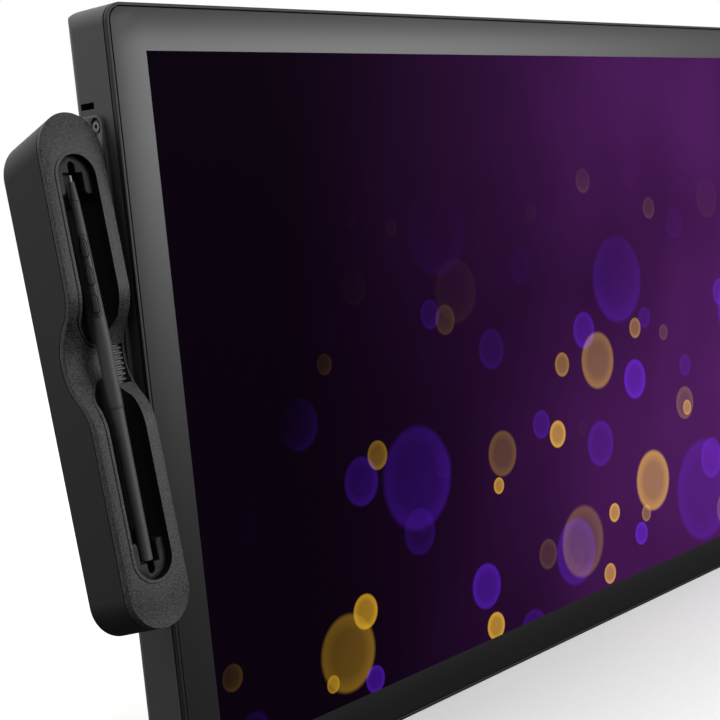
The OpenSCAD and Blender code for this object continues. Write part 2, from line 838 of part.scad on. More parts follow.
module vesa_plate() {
    color("#77797c") difference() {
        union() {
            layer(s_vesa, s_back) rrect(vesa_plate_w, vesa_plate_w, vesa_plate_r);
            for (at = vesa_holes_at) bar(at, s_vesa - vesa_boss_l, disp_t, vesa_boss_d);
        }
        for (at = vesa_holes_at) bar(at, s_vesa - vesa_boss_l - over, disp_t + over, vesa_hole_d);
        for (at = vesa_legs_at) {
            bar(at, s_vesa - over, s_back + over, screw_d + 2 * screw_play);
            bar(at, s_back - screw_head_h, s_back + over, screw_head_d + 2 * screw_play);
        }
    }
}

module vesa_screws() {
    color("#8c8f92") for (at = vesa_legs_at) screw_y(at, s_back, vesa_screw_l);
}

// Boards and cooling

module main_board() {
    color("#1d5136") difference() {
        union() {
            layer(s_stand, s_board) translate([0, board_z]) rrect(main_board_w, main_board_h, board_r);
            layer(s_board - eps, s_board + chip_h) translate([0, board_z]) square(chip_w, center = true);
        }
        for (at = board_screws_at) bar(at, s_stand - over, s_board + over, screw_d + 2 * screw_play);
        for (at = vesa_legs_at) bar(at, s_stand - over, s_board + over, vesa_leg_d + 2 * fit);
    }
}

module board_screws() {
    color("#8c8f92") for (at = board_screws_at) screw_y(at, s_board + screw_head_h, board_t + board_screw_l);
}

module heat_spreader() {
    base = s_board + chip_h;
    step = (spreader_w - rib_t) / (fin_count - 1);
    color("#c4c7c9") {
        layer(base, base + spreader_t) translate([0, board_z]) rrect(spreader_w, spreader_h, board_r);
        layer(base + spreader_t - eps, base + spreader_t + fin_h)
            for (i = [0 : fin_count - 1])
                translate([(i - (fin_count - 1) / 2) * step, board_z])
                    square([rib_t, spreader_h - fin_margin], center = true);
    }
}

module fan_housing(at) {
    post_s = s_stand + fan_post_h;
    color("#202123") difference() {
        union() {
            layer(s_stand, s_stand + fan_floor) translate(at) rrect(fan_w, fan_w, fan_r);
            layer(s_stand, s_stand + fan_t) translate(at) difference() {
                rrect(fan_w, fan_w, fan_r);
                circle(fan_w / 2 - fan_wall);
                translate([0, fan_w / 2]) square([fan_outlet_w, fan_w], center = true);
            }
            bar(at, s_stand, post_s, fan_post_d);
        }
        bar(at, s_stand - over, post_s + over, fan_shaft_d + 2 * thread_fit);
    }
}

module fan_rotor(at) {
    hub_s = s_stand + rotor_h;
    top_s = s_stand + fan_t - fan_end_gap;
    blade_l = fan_w / 2 - fan_wall - blade_tip_gap - rotor_hub_d / 2;
    color("#2c2d30") {
        bar(at, s_stand + fan_end_gap, hub_s + over, fan_shaft_d);
        bar(at, hub_s, top_s, rotor_hub_d);
        layer(hub_s + fan_end_gap, top_s - fan_end_gap) translate(at)
            for (i = [0 : fan_blades - 1]) rotate(i * 360 / fan_blades)
                translate([rotor_hub_d / 2 - blade_root, blade_offset]) rotate(-blade_sweep)
                    square([blade_l, blade_t]);
    }
}

// Sockets, mouths facing down into the bay

module socket_shell(at, tongue) {
    difference() {
        socket_block(at, 0);
        translate([at[0] - at[1] / 2 + socket_wall, sy(s_board) + socket_wall, bay_top - over])
            cube([at[1] - 2 * socket_wall, at[2] - 2 * socket_wall, socket_l + over - socket_back]);
    }
    tongue_w = at[1] - 2 * tongue_margin;
    translate([at[0] - tongue_w / 2, sy(s_board) + (at[2] - tongue) / 2, bay_top + tongue_sink])
        cube([tongue_w, tongue, socket_l - 2 * tongue_sink]);
}

module power_socket() {
    mid_y = sy(s_board) + power_at[2] / 2;
    color("#18191b") {
        difference() {
            socket_block(power_at, 0);
            translate([power_at[0], mid_y, bay_top - over])
                cylinder(d = jack_d, h = socket_l + over - socket_back);
        }
        translate([power_at[0], mid_y, bay_top + tongue_sink])
            cylinder(d = jack_pin_d, h = socket_l - 2 * tongue_sink);
    }
}

module video_sockets() {
    color("#a9acaf") for (at = [wide_video_at, small_video_at]) socket_shell(at, video_tongue);
}

module usb_sockets() {
    color("#a9acaf") {
        for (at = usb_c_at) socket_shell(at, usb_c_tongue);
        socket_shell(usb_a_at, usb_a_tongue);
    }
}

// Rear keys

module key_board(side) {
    color("#1d5136") {
        layer(s_key_board, s_key_board + board_t)
            translate([side * key_x, key_z]) rrect(key_board_w, key_board_l, board_r);
        for (i = [0 : key_count - 1])
            bar([side * key_x, key_at(i)], s_dome - dome_h - eps, s_dome, key_stem_d);
    }
}

module express_key(side, i) {
    color("#343437") {
        layer(s_flange_key, s_trough + key_rise) key_outline(side, i, 0);
        layer(s_flange_key, s_trough_in) key_outline(side, i, key_lip);
        bar([side * key_x, key_at(i)], s_stem_key, s_flange_key + eps, key_stem_d);
    }
}

// Top controls

module control_knob(x, l) {
    translate([0, 0, top_z - wall - control_flange]) {
        linear_extrude(wall + control_flange + control_rise) control_outline(x, l, 0);
        linear_extrude(control_flange) control_outline(x, l, control_lip);
    }
}

module power_button() {
    stem_z = switch_board_z + board_t + dome_h + power_travel + dome_gap;
    color("#2d2d30") {
        control_knob(power_x, power_l);
        translate([power_x, sy(control_s), stem_z]) cylinder(d = power_stem_d, h = top_z - wall - stem_z);
    }
}

module touch_switch() {
    stem_z = switch_board_z + board_t + slider_h + fit;
    color("#2d2d30") {
        control_knob(touch_x, touch_l);
        translate([touch_x, sy(control_s), stem_z]) cylinder(d = touch_stem_d, h = top_z - wall - stem_z);
    }
}

module switch_board() {
    color("#1d5136") {
        translate([switch_board_x - switch_board_w / 2, sy(control_s) - switch_board_d / 2, switch_board_z])
            cube([switch_board_w, switch_board_d, board_t]);
        translate([power_x, sy(control_s), switch_board_z + board_t - eps])
            cylinder(d = power_dome_d, h = dome_h + eps);
        translate([touch_x - slider_w / 2, sy(control_s) - slider_d / 2, switch_board_z + board_t - eps])
            cube([slider_w + touch_travel, slider_d, slider_h + eps]);
    }
}

// Bracket

module bracket_slots(w, l, x0, x1) {
    for (k = [-1, 1]) side_layer(x0, x1)
        translate([-bracket_screw_depth, bracket_screw_z(k)]) stadium(w, l);
}

module tray_screw_bores(d, u0, u1) {
    in_tray() for (k = [-1, 1])
        translate([u0, tray_screw_w, k * tray_screw_pitch / 2]) rotate([0, 90, 0])
            cylinder(d = d, h = u1 - u0);
}

module tray_bracket() {
    outer = -side_x - bracket_t;
    hole_d = screw_d + 2 * screw_play;
    color("#59595c") difference() {
        union() {
            side_layer(outer, -side_x) translate([-bracket_depth, tray_z])
                rrect(bracket_w, bracket_l, bracket_r);
            in_tray() translate([tray_r, tray_screw_w - pad_w / 2, -pad_l / 2])
                cube([tray_gap + eps, pad_w, pad_l]);
        }
        bracket_slots(hole_d, hole_d + bracket_slack, outer - over, -side_x + over);
        bracket_slots(bracket_slot_w, bracket_slot_l, outer - over, outer + bracket_pocket);
        tray_screw_bores(screw_d + 2 * thread_fit, tray_r - over, tray_r + tray_gap + bracket_t + over);
    }
}

module bracket_screws() {
    seat = -side_x - bracket_t + bracket_pocket;
    head_h = bracket_pocket - head_sink;
    shank_l = bracket_t - bracket_pocket + insert_l - screw_end_gap;
    color("#c9cbcd") for (k = [-1, 1]) translate([0, -bracket_screw_depth, bracket_screw_z(k)])
        rotate([0, 90, 0]) difference() {
            union() {
                translate([0, 0, seat - head_h]) cylinder(d = bracket_head_d, h = head_h);
                translate([0, 0, seat - eps]) cylinder(d = screw_d, h = shank_l);
            }
            translate([0, 0, seat - head_h - over]) cylinder(d = hex_d, h = over + hex_depth, $fn = 6);
        }
}

// Pen tray. Its own axes: X across, Y into the tray from its front face, Z along it.

module in_tray() {
    translate([tray_x, -disp_t - tray_front, tray_z]) rotate([-tray_lean, 0, 0]) children();
}

module tray_prism(w0, w1) {
    translate([0, w1, 0]) rotate([90, 0, 0]) linear_extrude(w1 - w0) children();
}

// Round-ended bar that bounds one end of the tray along that end's slope
module end_bar(end, slope, inset) {
    r = tray_r - inset;
    translate([0, 0, end * end_centre]) rotate([-slope, 0, 0]) tray_prism(-tray_l / 2, tray_l / 2) {
        circle(r);
        translate([-r, end > 0 ? -2 * tray_l : 0]) square([2 * r, 2 * tray_l]);
    }
}

module tray_blank(inset) {
    intersection() {
        end_bar(1, top_slope, inset);
        end_bar(-1, bottom_slope, inset);
    }
}

// Side view of what the finger scoop takes away, depth along the first axis
module scoop_profile() {
    difference() {
        translate([-tray_depth, scoop_v - scoop_half]) square([tray_depth + scoop_join, 2 * scoop_half]);
        for (k = [-1, 1]) translate([shoulder_r, scoop_v + k * scoop_half]) circle(shoulder_r);
    }
    translate([hollow_w, scoop_v]) circle(scoop_r);
}

// Slice of the tray from its front to a depth
module tray_slab(depth) {
    translate([-tray_w, -over, -tray_l]) cube([2 * tray_w, depth + over, 2 * tray_l]);
}

// Everything deeper than the scooped front surface, moved back by sink
module below_face(sink, depth) {
    difference() {
        translate([-tray_w, sink, -tray_l]) cube([2 * tray_w, depth - sink, 2 * tray_l]);
        translate([0, sink, 0]) side_layer(-tray_w - over, tray_w + over) scoop_profile();
    }
}

// Everything deeper than the parting plane between cap and shell, moved back by sink
module below_parting(sink, depth) {
    rotate([split_tilt, 0, 0]) below_face(cap_t + sink, depth);
}

// Block of the cap under the nib rack, which stands in a notch in the shell's edge
module rack_block(grow) {
    translate([rack_u - rack_w / 2 - channel_wall - grow, 0, rack_v - rack_l / 2 - channel_wall - grow])
        cube([tray_r, rack_floor + channel_wall + grow, rack_l + 2 * (channel_wall + grow)]);
}

module tray_shell() {
    color("#303032") in_tray() difference() {
        intersection() {
            tray_blank(0);
            below_parting(cap_groove, 2 * tray_depth);
            tray_slab(tray_depth);
        }
        intersection() {
            tray_blank(shell_wall);
            tray_slab(tray_depth - shell_wall);
        }
        rack_block(fit);
        for (k = [-1, 1]) {
            translate([0, tray_depth + over, cap_post_at(k)]) rotate([90, 0, 0])
                cylinder(d = cap_screw_d + 2 * screw_play, h = shell_wall + 2 * over);
            translate([0, tray_depth + over, cap_post_at(k)]) rotate([90, 0, 0])
                cylinder(d = cap_head_d + 2 * screw_play, h = over + cap_head_h);
            translate([tray_r - shell_wall - over, tray_screw_w, k * tray_screw_pitch / 2]) rotate([0, 90, 0])
                cylinder(d = screw_d + 2 * screw_play, h = shell_wall + 2 * over);
        }
    }
}

// Cross-section of the pen channel, straight walls over a round bottom
module channel_section(grow, sink) {
    axis_w = channel_depth + sink - trough_r - grow;
    wide = channel_w + 2 * grow + over;
    translate([-wide / 2, -tray_depth]) square([wide, tray_depth + axis_w + over]);
    translate([0, axis_w]) circle(trough_r + grow);
}

// The pen channel, grown sideways and sunk deeper
module channel_body(grow, sink) {
    intersection() {
        tray_prism(-channel_lip - over, tray_depth) stadium(channel_w + 2 * grow, channel_l + 2 * grow);
        translate([0, 0, -tray_l]) linear_extrude(2 * tray_l) channel_section(grow, sink);
    }
}

module rack_pocket() {
    translate([rack_u - rack_w / 2, 0, rack_v - rack_l / 2]) cube([rack_w, rack_floor, rack_l]);
}

module tray_cap() {
    post_end = tray_depth - shell_wall;
    color("#47474a") in_tray() difference() {
        union() {
            // the outer face and its rim
            difference() {
                intersection() {
                    tray_blank(0);
                    below_face(0, tray_depth);
                }
                below_parting(0, 2 * tray_depth);
            }
            // the skirt that locates the cap in the shell
            difference() {
                intersection() {
                    tray_blank(shell_wall + fit);
                    below_parting(-eps, cap_t + skirt_l + over);
                }
                tray_blank(shell_wall + fit + skirt_t);
                below_parting(skirt_l, 2 * tray_depth);
            }
            // the channel, its raised lip and the block under the nib rack
            intersection() {
                translate([0, 0, channel_v]) channel_body(channel_wall, lip_tail);
                below_face(-channel_lip, tray_depth);
            }
            intersection() {
                translate([0, 0, channel_v]) channel_body(channel_wall, channel_wall);
                below_face(0, tray_depth);
            }
            intersection() {
                tray_blank(0);
                below_face(0, tray_depth);
                rack_block(0);
            }
            for (k = [-1, 1]) translate([0, post_end, cap_post_at(k)]) rotate([90, 0, 0])
                cylinder(d = cap_post_d, h = post_end - cap_t / 2);
        }
        translate([0, 0, channel_v]) channel_body(0, 0);
        rack_pocket();
        for (k = [-1, 1]) translate([0, post_end + over, cap_post_at(k)]) rotate([90, 0, 0])
            cylinder(d = cap_screw_d + 2 * thread_fit, h = cap_screw_l + over);
    }
}

module tray_screws() {
    head = tray_r - shell_wall - tray_screw_head_h;
    color("#8c8f92") {
        tray_screw_bores(tray_screw_head_d, head, head + tray_screw_head_h);
        tray_screw_bores(screw_d, head, tray_r + tray_gap + bracket_t - tray_screw_end_gap);
    }
}

module cap_screws() {
    seat = tray_depth - cap_head_h;
    color("#8c8f92") in_tray() for (k = [-1, 1]) {
        translate([0, tray_depth, cap_post_at(k)]) rotate([90, 0, 0])
            cylinder(d = cap_head_d, h = cap_head_h);
        translate([0, seat + eps, cap_post_at(k)]) rotate([90, 0, 0])
            cylinder(d = cap_screw_d, h = shell_wall - cap_head_h + cap_screw_l - cap_screw_end_gap);
    }
}

// Seat at one end of the channel, with the pen's slot and the nib's slot
module seat(end) {
    arm_v = seat_inner + seat_tongue;
    color("#3a3a3c") in_tray() translate([0, 0, channel_v]) difference() {
        intersection() {
            channel_body(-fit / 2, -fit / 2);
            translate([-channel_w, seat_drop, -tray_l]) cube([2 * channel_w, tray_depth, 2 * tray_l]);
            union() {
                translate([-channel_w, 0, end > 0 ? arm_v : -arm_v - tray_l])
                    cube([2 * channel_w, tray_depth, tray_l]);
                translate([-seat_slot_w / 2, seat_floor, end > 0 ? seat_inner : -arm_v - over])
                    cube([seat_slot_w, tray_depth, seat_tongue + over]);
            }
        }
        tray_prism(0, seat_floor) {
            translate([-seat_slot_w / 2, end > 0 ? 0 : -seat_end]) square([seat_slot_w, seat_end]);
            translate([0, end * (seat_end + (nib_slot_l - nib_slot_w) / 2)])
                stadium(nib_slot_w, nib_slot_l + nib_slot_w);
        }
    }
}

module seat_upper() {
    seat(1);
}

module seat_lower() {
    seat(-1);
}

// Spare nibs lie side by side across the saddle, half sunk in the rack

module nib_bars(d, l) {
    for (i = [0 : nib_count - 1])
        translate([rack_u - l / 2, spare_nib_w, rack_v + (i - (nib_count - 1) / 2) * nib_pitch])
            rotate([0, 90, 0]) cylinder(d = d, h = l);
}

module nib_rack() {
    color("#18181a") in_tray() difference() {
        translate([rack_u - rack_w / 2 + rack_fit, rack_floor - rack_t, rack_v - rack_l / 2 + rack_fit])
            cube([rack_w - 2 * rack_fit, rack_t, rack_l - 2 * rack_fit]);
        nib_bars(spare_nib_d + rack_fit, rack_w + over);
    }
}

module spare_nibs() {
    color("#8a8a8c") in_tray() nib_bars(spare_nib_d, spare_nib_l);
}

// Pen. Its own axes: Z from the tip to the tail, Y towards the buttons.

module in_pen() {
    in_tray() translate([0, pen_w, channel_v + pen_l / 2]) rotate([180, 0, 0]) rotate([0, 0, pen_roll])
        children();
}

// Front barrel's outline, drawn in by sink
module barrel_outline(sink) {
    polygon([[0, nose_end], [nose_d / 2 - sink, nose_end], [neck_d / 2 - sink, plate_start],
             [belly_d / 2 - sink, belly_at], [barrel_end_d / 2 - sink, barrel_end], [0, barrel_end]]);
}

module pen_bar(d, t0, t1) {
    translate([0, 0, t0]) cylinder(d = d, h = t1 - t0);
}

// Block with a slot outline that stands on the pocket's floor
module switch_block(at, w, l, y0) {
    translate([0, belly_d, at]) rotate([90, 0, 0]) linear_extrude(belly_d - y0) stadium(w, l);
}

module pen_nib() {
    color("#c9c9c6") in_pen() rotate_extrude()
        polygon([[0, 0], [nib_tip_r, 0], [nib_d / 2, nib_tip_r],
                 [nib_d / 2, nib_shaft_end], [0, nib_shaft_end]]);
}

module pen_nose() {
    bore_r = nib_d / 2 + pen_play;
    color("#3b3b3d") in_pen() rotate_extrude()
        polygon([[bore_r, nib_l], [nose_tip_d / 2, nib_l], [nose_d / 2, nose_end], [bore_r, nose_end]]);
}

// The revolved barrel's seam lies opposite the switch pocket
module pen_barrel() {
    color("#434345") in_pen() difference() {
        rotate([0, 0, barrel_turn]) difference() {
            rotate_extrude() barrel_outline(0);
            pen_bar(pen_bore_d, nose_end - over, barrel_end + over);
        }
        switch_block(plate_mid, plate_w, plate_l, pocket_y);
    }
}

module pen_switch_plate() {
    color("#3a3a3c") in_pen() difference() {
        intersection() {
            switch_block(plate_mid, plate_w - 2 * plate_fit, plate_l - 2 * plate_fit, pocket_y);
            rotate_extrude() barrel_outline(plate_sink);
        }
        for (i = [0 : 2]) switch_block(button_at(i), pen_button_w + pen_play, pen_button_l + pen_play, 0);
        pen_bar(pen_bore_d, nose_end - over, barrel_end + over);
    }
}

module pen_button(i) {
    color("#2c2c2e") in_pen() intersection() {
        switch_block(button_at(i), pen_button_w - pen_play, pen_button_l - pen_play, button_foot);
        rotate_extrude() barrel_outline(-button_rise);
    }
}

module pen_tail() {
    color("#3d3d3f") in_pen() rotate_extrude()
        polygon([[0, barrel_end], [tail_d / 2, barrel_end], [tail_end_d / 2, pen_l - tail_chamfer],
                 [tail_end_d / 2 - tail_chamfer, pen_l], [0, pen_l]]);
    color("#3d3d3f") in_pen() pen_bar(pen_bore_d - 2 * plate_fit, barrel_end - plug_l, barrel_end + eps);
}

module pen_coil() {
    color("#8a5a3a") in_pen() difference() {
        pen_bar(pen_bore_d - 2 * plate_fit, nose_end, nib_shaft_end - over);
        pen_bar(nib_d + 2 * pen_play, nose_end - over, nib_shaft_end + over);
    }
}

module pen_board() {
    start = nib_shaft_end + nib_travel + pen_board_gap;
    color("#1d5136") in_pen() translate([-pen_board_w / 2, -pen_board_t / 2, start])
        cube([pen_board_w, pen_board_t, barrel_end - plug_l - over - start]);
}

cover_glass();
front_frame();
touch_sensor();
lcd_panel();
backlight();
digitizer_board();
shield_plate();
mid_chassis();
rear_cover();
housing_screws();
vesa_plate();
vesa_screws();
main_board();
board_screws();
heat_spreader();
power_socket();
video_sockets();
usb_sockets();
fan_housing(fans_at[0]);  // fan_housing_left
fan_housing(fans_at[1]);  // fan_housing_right
fan_rotor(fans_at[0]);  // fan_rotor_left
fan_rotor(fans_at[1]);  // fan_rotor_right
key_board(-1);  // key_board_left
key_board(1);  // key_board_right
express_key(-1, 0);  // key_left_1
express_key(-1, 1);  // key_left_2
express_key(-1, 2);  // key_left_3
express_key(-1, 3);  // key_left_4
express_key(1, 0);  // key_right_1
express_key(1, 1);  // key_right_2
express_key(1, 2);  // key_right_3
express_key(1, 3);  // key_right_4
power_button();
touch_switch();
switch_board();
side_inserts();
tray_bracket();
bracket_screws();
tray_shell();
tray_cap();
tray_screws();
cap_screws();
seat_upper();
seat_lower();
nib_rack();
spare_nibs();
pen_nib();
pen_nose();
pen_barrel();
pen_switch_plate();
pen_button(0);  // pen_button_front
pen_button(1);  // pen_button_middle
pen_button(2);  // pen_button_rear
pen_tail();
pen_coil();
pen_board();
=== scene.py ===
"""Dresses the pen display: finishes for every piece, softened edges, the lit picture and the studio."""
import json
import math

import bmesh
import bpy
from mathutils import Matrix, Vector


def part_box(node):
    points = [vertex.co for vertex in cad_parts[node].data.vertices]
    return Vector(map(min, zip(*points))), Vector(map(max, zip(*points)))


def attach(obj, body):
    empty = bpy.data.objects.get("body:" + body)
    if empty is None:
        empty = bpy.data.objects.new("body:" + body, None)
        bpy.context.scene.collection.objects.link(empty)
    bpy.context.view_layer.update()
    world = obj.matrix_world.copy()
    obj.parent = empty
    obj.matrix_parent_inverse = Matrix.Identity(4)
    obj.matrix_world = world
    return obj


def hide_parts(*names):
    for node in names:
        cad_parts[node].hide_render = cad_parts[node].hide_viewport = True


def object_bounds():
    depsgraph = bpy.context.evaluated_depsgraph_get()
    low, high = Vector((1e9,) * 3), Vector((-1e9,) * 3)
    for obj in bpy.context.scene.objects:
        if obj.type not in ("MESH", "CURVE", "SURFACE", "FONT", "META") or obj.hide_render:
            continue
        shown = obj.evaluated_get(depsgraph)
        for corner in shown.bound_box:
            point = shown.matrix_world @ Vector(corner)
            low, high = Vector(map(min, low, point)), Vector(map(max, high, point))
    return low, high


bl_info = {
    "name": "Pen display dressing",
    "version": (1, 0, 0),
    "blender": (4, 5, 0),
    "location": "View3D > Sidebar > Pen display",
    "description": "Finishes, softened edges, lit picture and studio for a pen display with a pen tray",
    "category": "Object",
}

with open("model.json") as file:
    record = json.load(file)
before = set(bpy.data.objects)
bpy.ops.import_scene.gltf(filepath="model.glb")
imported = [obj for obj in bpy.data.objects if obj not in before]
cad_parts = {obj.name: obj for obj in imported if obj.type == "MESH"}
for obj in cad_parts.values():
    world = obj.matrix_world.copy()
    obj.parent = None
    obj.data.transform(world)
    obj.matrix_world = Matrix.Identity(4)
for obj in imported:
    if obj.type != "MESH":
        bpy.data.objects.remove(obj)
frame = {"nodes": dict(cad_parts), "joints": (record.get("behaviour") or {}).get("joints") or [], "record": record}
NODES = frame["nodes"]
BODY_OF = {node: body for body, nodes in frame["record"]["behaviour"]["bodies"].items() for node in nodes}
PEN_LIFT = Vector(next(joint["axis"] for joint in frame["joints"] if joint["name"] == "pen_lift"))
# Up along the tray, square to the pen's way out
ALONG = Vector((0, PEN_LIFT.z, -PEN_LIFT.y))
CAD_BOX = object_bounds()
MM = 0.001
# Two points closer than this are taken to be at one place
NEAR = 0.01 * MM
# An edge that turns by more than this counts as a sharp one
SHARP = math.radians(40)
# An edge that turns by less than this is shaded smooth
SMOOTH = math.radians(32)
# Colour sockets of the Mix node
MIX_A = 6
MIX_B = 7
MIX_OUT = 2


def linear(code):
    """Turn an sRGB hex colour into linear red, green and blue."""
    channels = [int(code[i:i + 2], 16) / 255 for i in (1, 3, 5)]
    return tuple(c / 12.92 if c <= 0.04045 else ((c + 0.055) / 1.055) ** 2.4 for c in channels)


def colour(name, description, code):
    """A colour that a user may change."""
    return bpy.props.FloatVectorProperty(
        name=name, description=description, subtype="COLOR", size=3, min=0, max=1, default=linear(code))


def length(name, description, millimetres):
    """A length that a user may change."""
    return bpy.props.FloatProperty(
        name=name, description=description, unit="LENGTH", min=0, precision=5, default=millimetres * MM)


class PenDisplayColours(bpy.types.PropertyGroup):
    """Colours of the finishes."""

    housing: colour("Housing", "Moulded rear cover", "#363638")
    frame_edge: colour("Frame edge", "Anodised frame round the glass", "#3c3c3e")
    border: colour("Border", "Print behind the edge of the glass", "#1a1a1c")
    tray_cap: colour("Tray cap", "Grained front of the pen tray", "#303032")
    tray_shell: colour("Tray shell", "Side and back of the pen tray", "#1e1e20")
    seat: colour("Seat", "Pen seats in the tray", "#0b0b0c")
    # Painted shade: the channel's faces of the tray cap take this near-black colour, so the deep channel reads
    # dark as its shade does
    channel_shade: colour("Channel lining", "Dull black inside of the pen channel", "#060607")
    bracket: colour("Bracket", "Coated bracket plate", "#48484a")
    pen: colour("Pen", "Soft coat of the pen", "#464647")
    pen_trim: colour("Pen trim", "Switch plate and buttons of the pen", "#323233")
    keys: colour("Keys", "Rear keys and top controls", "#1a1a1c")
    nib: colour("Nib", "Nib in the pen", "#b4b4b0")
    spare_nib: colour("Spare nibs", "Nibs in the rack", "#5a5a5a")
    black: colour("Black mouldings", "Fans, sockets and nib rack", "#0e0e0f")
    board: colour("Board", "Solder mask of the circuit boards", "#1f5a38")
    night: colour("Picture ground", "Darkest colour of the picture", "#0a030d")
    plum: colour("Picture haze", "Deep purple haze of the picture", "#4b1c59")
    violet: colour("Picture violet", "Bright violet of the picture", "#5a1ec8")
    gold: colour("Picture gold", "Gold of the picture", "#e0a824")


class PenDisplaySizes(bpy.types.PropertyGroup):
    """Sizes of surface detail and of the picture."""

    picture_width: length("Picture width", "Width of the lit picture", 596.7)
    picture_height: length("Picture height", "Height of the lit picture", 335.6)
    grain: length("Grain", "Width of the moulded grain as drawn", 0.75)
    channel_width: length("Channel width", "Width of the pen channel", 20.6)
    channel_depth: length("Channel depth", "Depth of the pen channel below its lip", 11.4)
    seat_tip: length("Seat tip", "Radius of the rounded tips of the pen seats", 2.5)
    brim: length("Seat brim", "Radius of the edge round the top of the pen seats", 0.4)
    edge: length("Edge", "Radius of the small moulded edges", 0.3)
    rim: length("Tray rim", "Radius of the rounded rim round the tray's face", 0.5)


def add_node(tree, kind, links=None, **settings):
    """Add a node, apply its settings, and set or link its inputs."""
    node = tree.nodes.new(kind)
    for name, value in settings.items():
        setattr(node, name, value)
    for socket, value in (links or {}).items():
        if isinstance(value, bpy.types.NodeSocket):
            tree.links.new(value, node.inputs[socket])
        else:
            node.inputs[socket].default_value = value
    return node


def start_material(name):
    """An empty node material, its tree and its Object coordinates."""
    material = bpy.data.materials.new(name)
    material.use_nodes = True
    tree = material.node_tree
    tree.nodes.clear()
    return material, tree, add_node(tree, "ShaderNodeTexCoord").outputs["Object"]


def close_material(tree, sockets):
    """Add the shader with its sockets set or linked, and the output."""
    shader = add_node(tree, "ShaderNodeBsdfPrincipled", sockets)
    add_node(tree, "ShaderNodeOutputMaterial", {"Surface": shader.outputs["BSDF"]})


def shade(tone, factor):
    """A tone made lighter or darker, with alpha."""
    return tuple(min(channel * factor, 1.0) for channel in tone) + (1.0,)


def moulded_abs(name, tone, grain, contrast, roughness, edge, shine=0.5):
    """Injection-moulded ABS from a spark-eroded tool."""
    # The eye sees a dull dark skin: tiny pits break each highlight into an even, slightly sparkling sheen.
    # The real pits are about 0.1 mm wide and are drawn wider, so that the render shows them.
    material, tree, place = start_material(name)
    pits = add_node(tree, "ShaderNodeTexNoise", {
        "Vector": place, "Scale": 1 / grain, "Detail": 1.5, "Roughness": 0.6})
    flow = add_node(tree, "ShaderNodeTexNoise", {"Vector": place, "Scale": 1 / (70 * MM), "Detail": 2.0})
    spots = add_node(tree, "ShaderNodeMapRange", {
        "Value": pits.outputs["Fac"], "From Min": 0.36, "From Max": 0.64})
    speckle = add_node(tree, "ShaderNodeMix", {
        "Factor": spots.outputs["Result"],
        MIX_A: shade(tone, 1 - contrast), MIX_B: shade(tone, 1 + contrast)}, data_type="RGBA")
    drift = add_node(tree, "ShaderNodeMapRange", {
        "Value": flow.outputs["Fac"], "To Min": 0.85, "To Max": 1.15})
    skin = add_node(tree, "ShaderNodeVectorMath", {
        0: speckle.outputs[MIX_OUT], "Scale": drift.outputs["Result"]}, operation="SCALE")
    sheen = add_node(tree, "ShaderNodeMapRange", {
        "Value": pits.outputs["Fac"], "To Min": roughness - 0.1, "To Max": roughness + 0.1})
    turned = add_node(tree, "ShaderNodeBevel", {"Radius": edge}, samples=4)
    relief = add_node(tree, "ShaderNodeBump", {
        "Strength": contrast, "Distance": 0.2 * grain, "Height": pits.outputs["Fac"],
        "Normal": turned.outputs["Normal"]})
    close_material(tree, {
        "Base Color": skin.outputs["Vector"], "Roughness": sheen.outputs["Result"],
        "Normal": relief.outputs["Normal"], "IOR": 1.5, "Specular IOR Level": shine})
    return material


def soft_coat(name, tone):
    """Elastomer paint sprayed over a turned plastic barrel."""
    # The eye sees a smooth, warm dark skin with one broad soft highlight and faint handling marks.
    material, tree, place = start_material(name)
    mist = add_node(tree, "ShaderNodeTexNoise", {"Vector": place, "Scale": 1 / (0.4 * MM), "Detail": 1.0})
    marks = add_node(tree, "ShaderNodeTexNoise", {"Vector": place, "Scale": 1 / (14 * MM), "Detail": 4.0})
    skin = add_node(tree, "ShaderNodeMix", {
        "Factor": marks.outputs["Fac"], MIX_A: shade(tone, 0.8), MIX_B: shade(tone, 1.2)}, data_type="RGBA")
    dull = add_node(tree, "ShaderNodeMapRange", {
        "Value": marks.outputs["Fac"], "To Min": 0.5, "To Max": 0.62})
    turned = add_node(tree, "ShaderNodeBevel", {"Radius": 0.2 * MM}, samples=4)
    relief = add_node(tree, "ShaderNodeBump", {
        "Strength": 0.15, "Distance": 0.02 * MM, "Height": mist.outputs["Fac"],
        "Normal": turned.outputs["Normal"]})
    close_material(tree, {
        "Base Color": skin.outputs[MIX_OUT], "Roughness": dull.outputs["Result"],
        "Normal": relief.outputs["Normal"], "IOR": 1.48})
    return material


def coated_steel(name, tone):
    """Pressed steel with a baked powder coat."""
    # The eye sees a dark, faintly pebbled coat with slow cloudy changes of tone.
    material, tree, place = start_material(name)
    pebble = add_node(tree, "ShaderNodeTexVoronoi", {"Vector": place, "Scale": 1 / (0.7 * MM)})
    cloud = add_node(tree, "ShaderNodeTexNoise", {"Vector": place, "Scale": 1 / (25 * MM), "Detail": 3.0})
    skin = add_node(tree, "ShaderNodeMix", {
        "Factor": cloud.outputs["Fac"], MIX_A: shade(tone, 0.85), MIX_B: shade(tone, 1.2)}, data_type="RGBA")
    dull = add_node(tree, "ShaderNodeMapRange", {
        "Value": pebble.outputs["Distance"], "To Min": 0.42, "To Max": 0.56})
    turned = add_node(tree, "ShaderNodeBevel", {"Radius": 0.3 * MM}, samples=4)
    relief = add_node(tree, "ShaderNodeBump", {
        "Strength": 0.3, "Distance": 0.04 * MM, "Height": pebble.outputs["Distance"],
        "Normal": turned.outputs["Normal"]})
    close_material(tree, {
        "Base Color": skin.outputs[MIX_OUT], "Roughness": dull.outputs["Result"],
        "Normal": relief.outputs["Normal"], "IOR": 1.5})
    return material


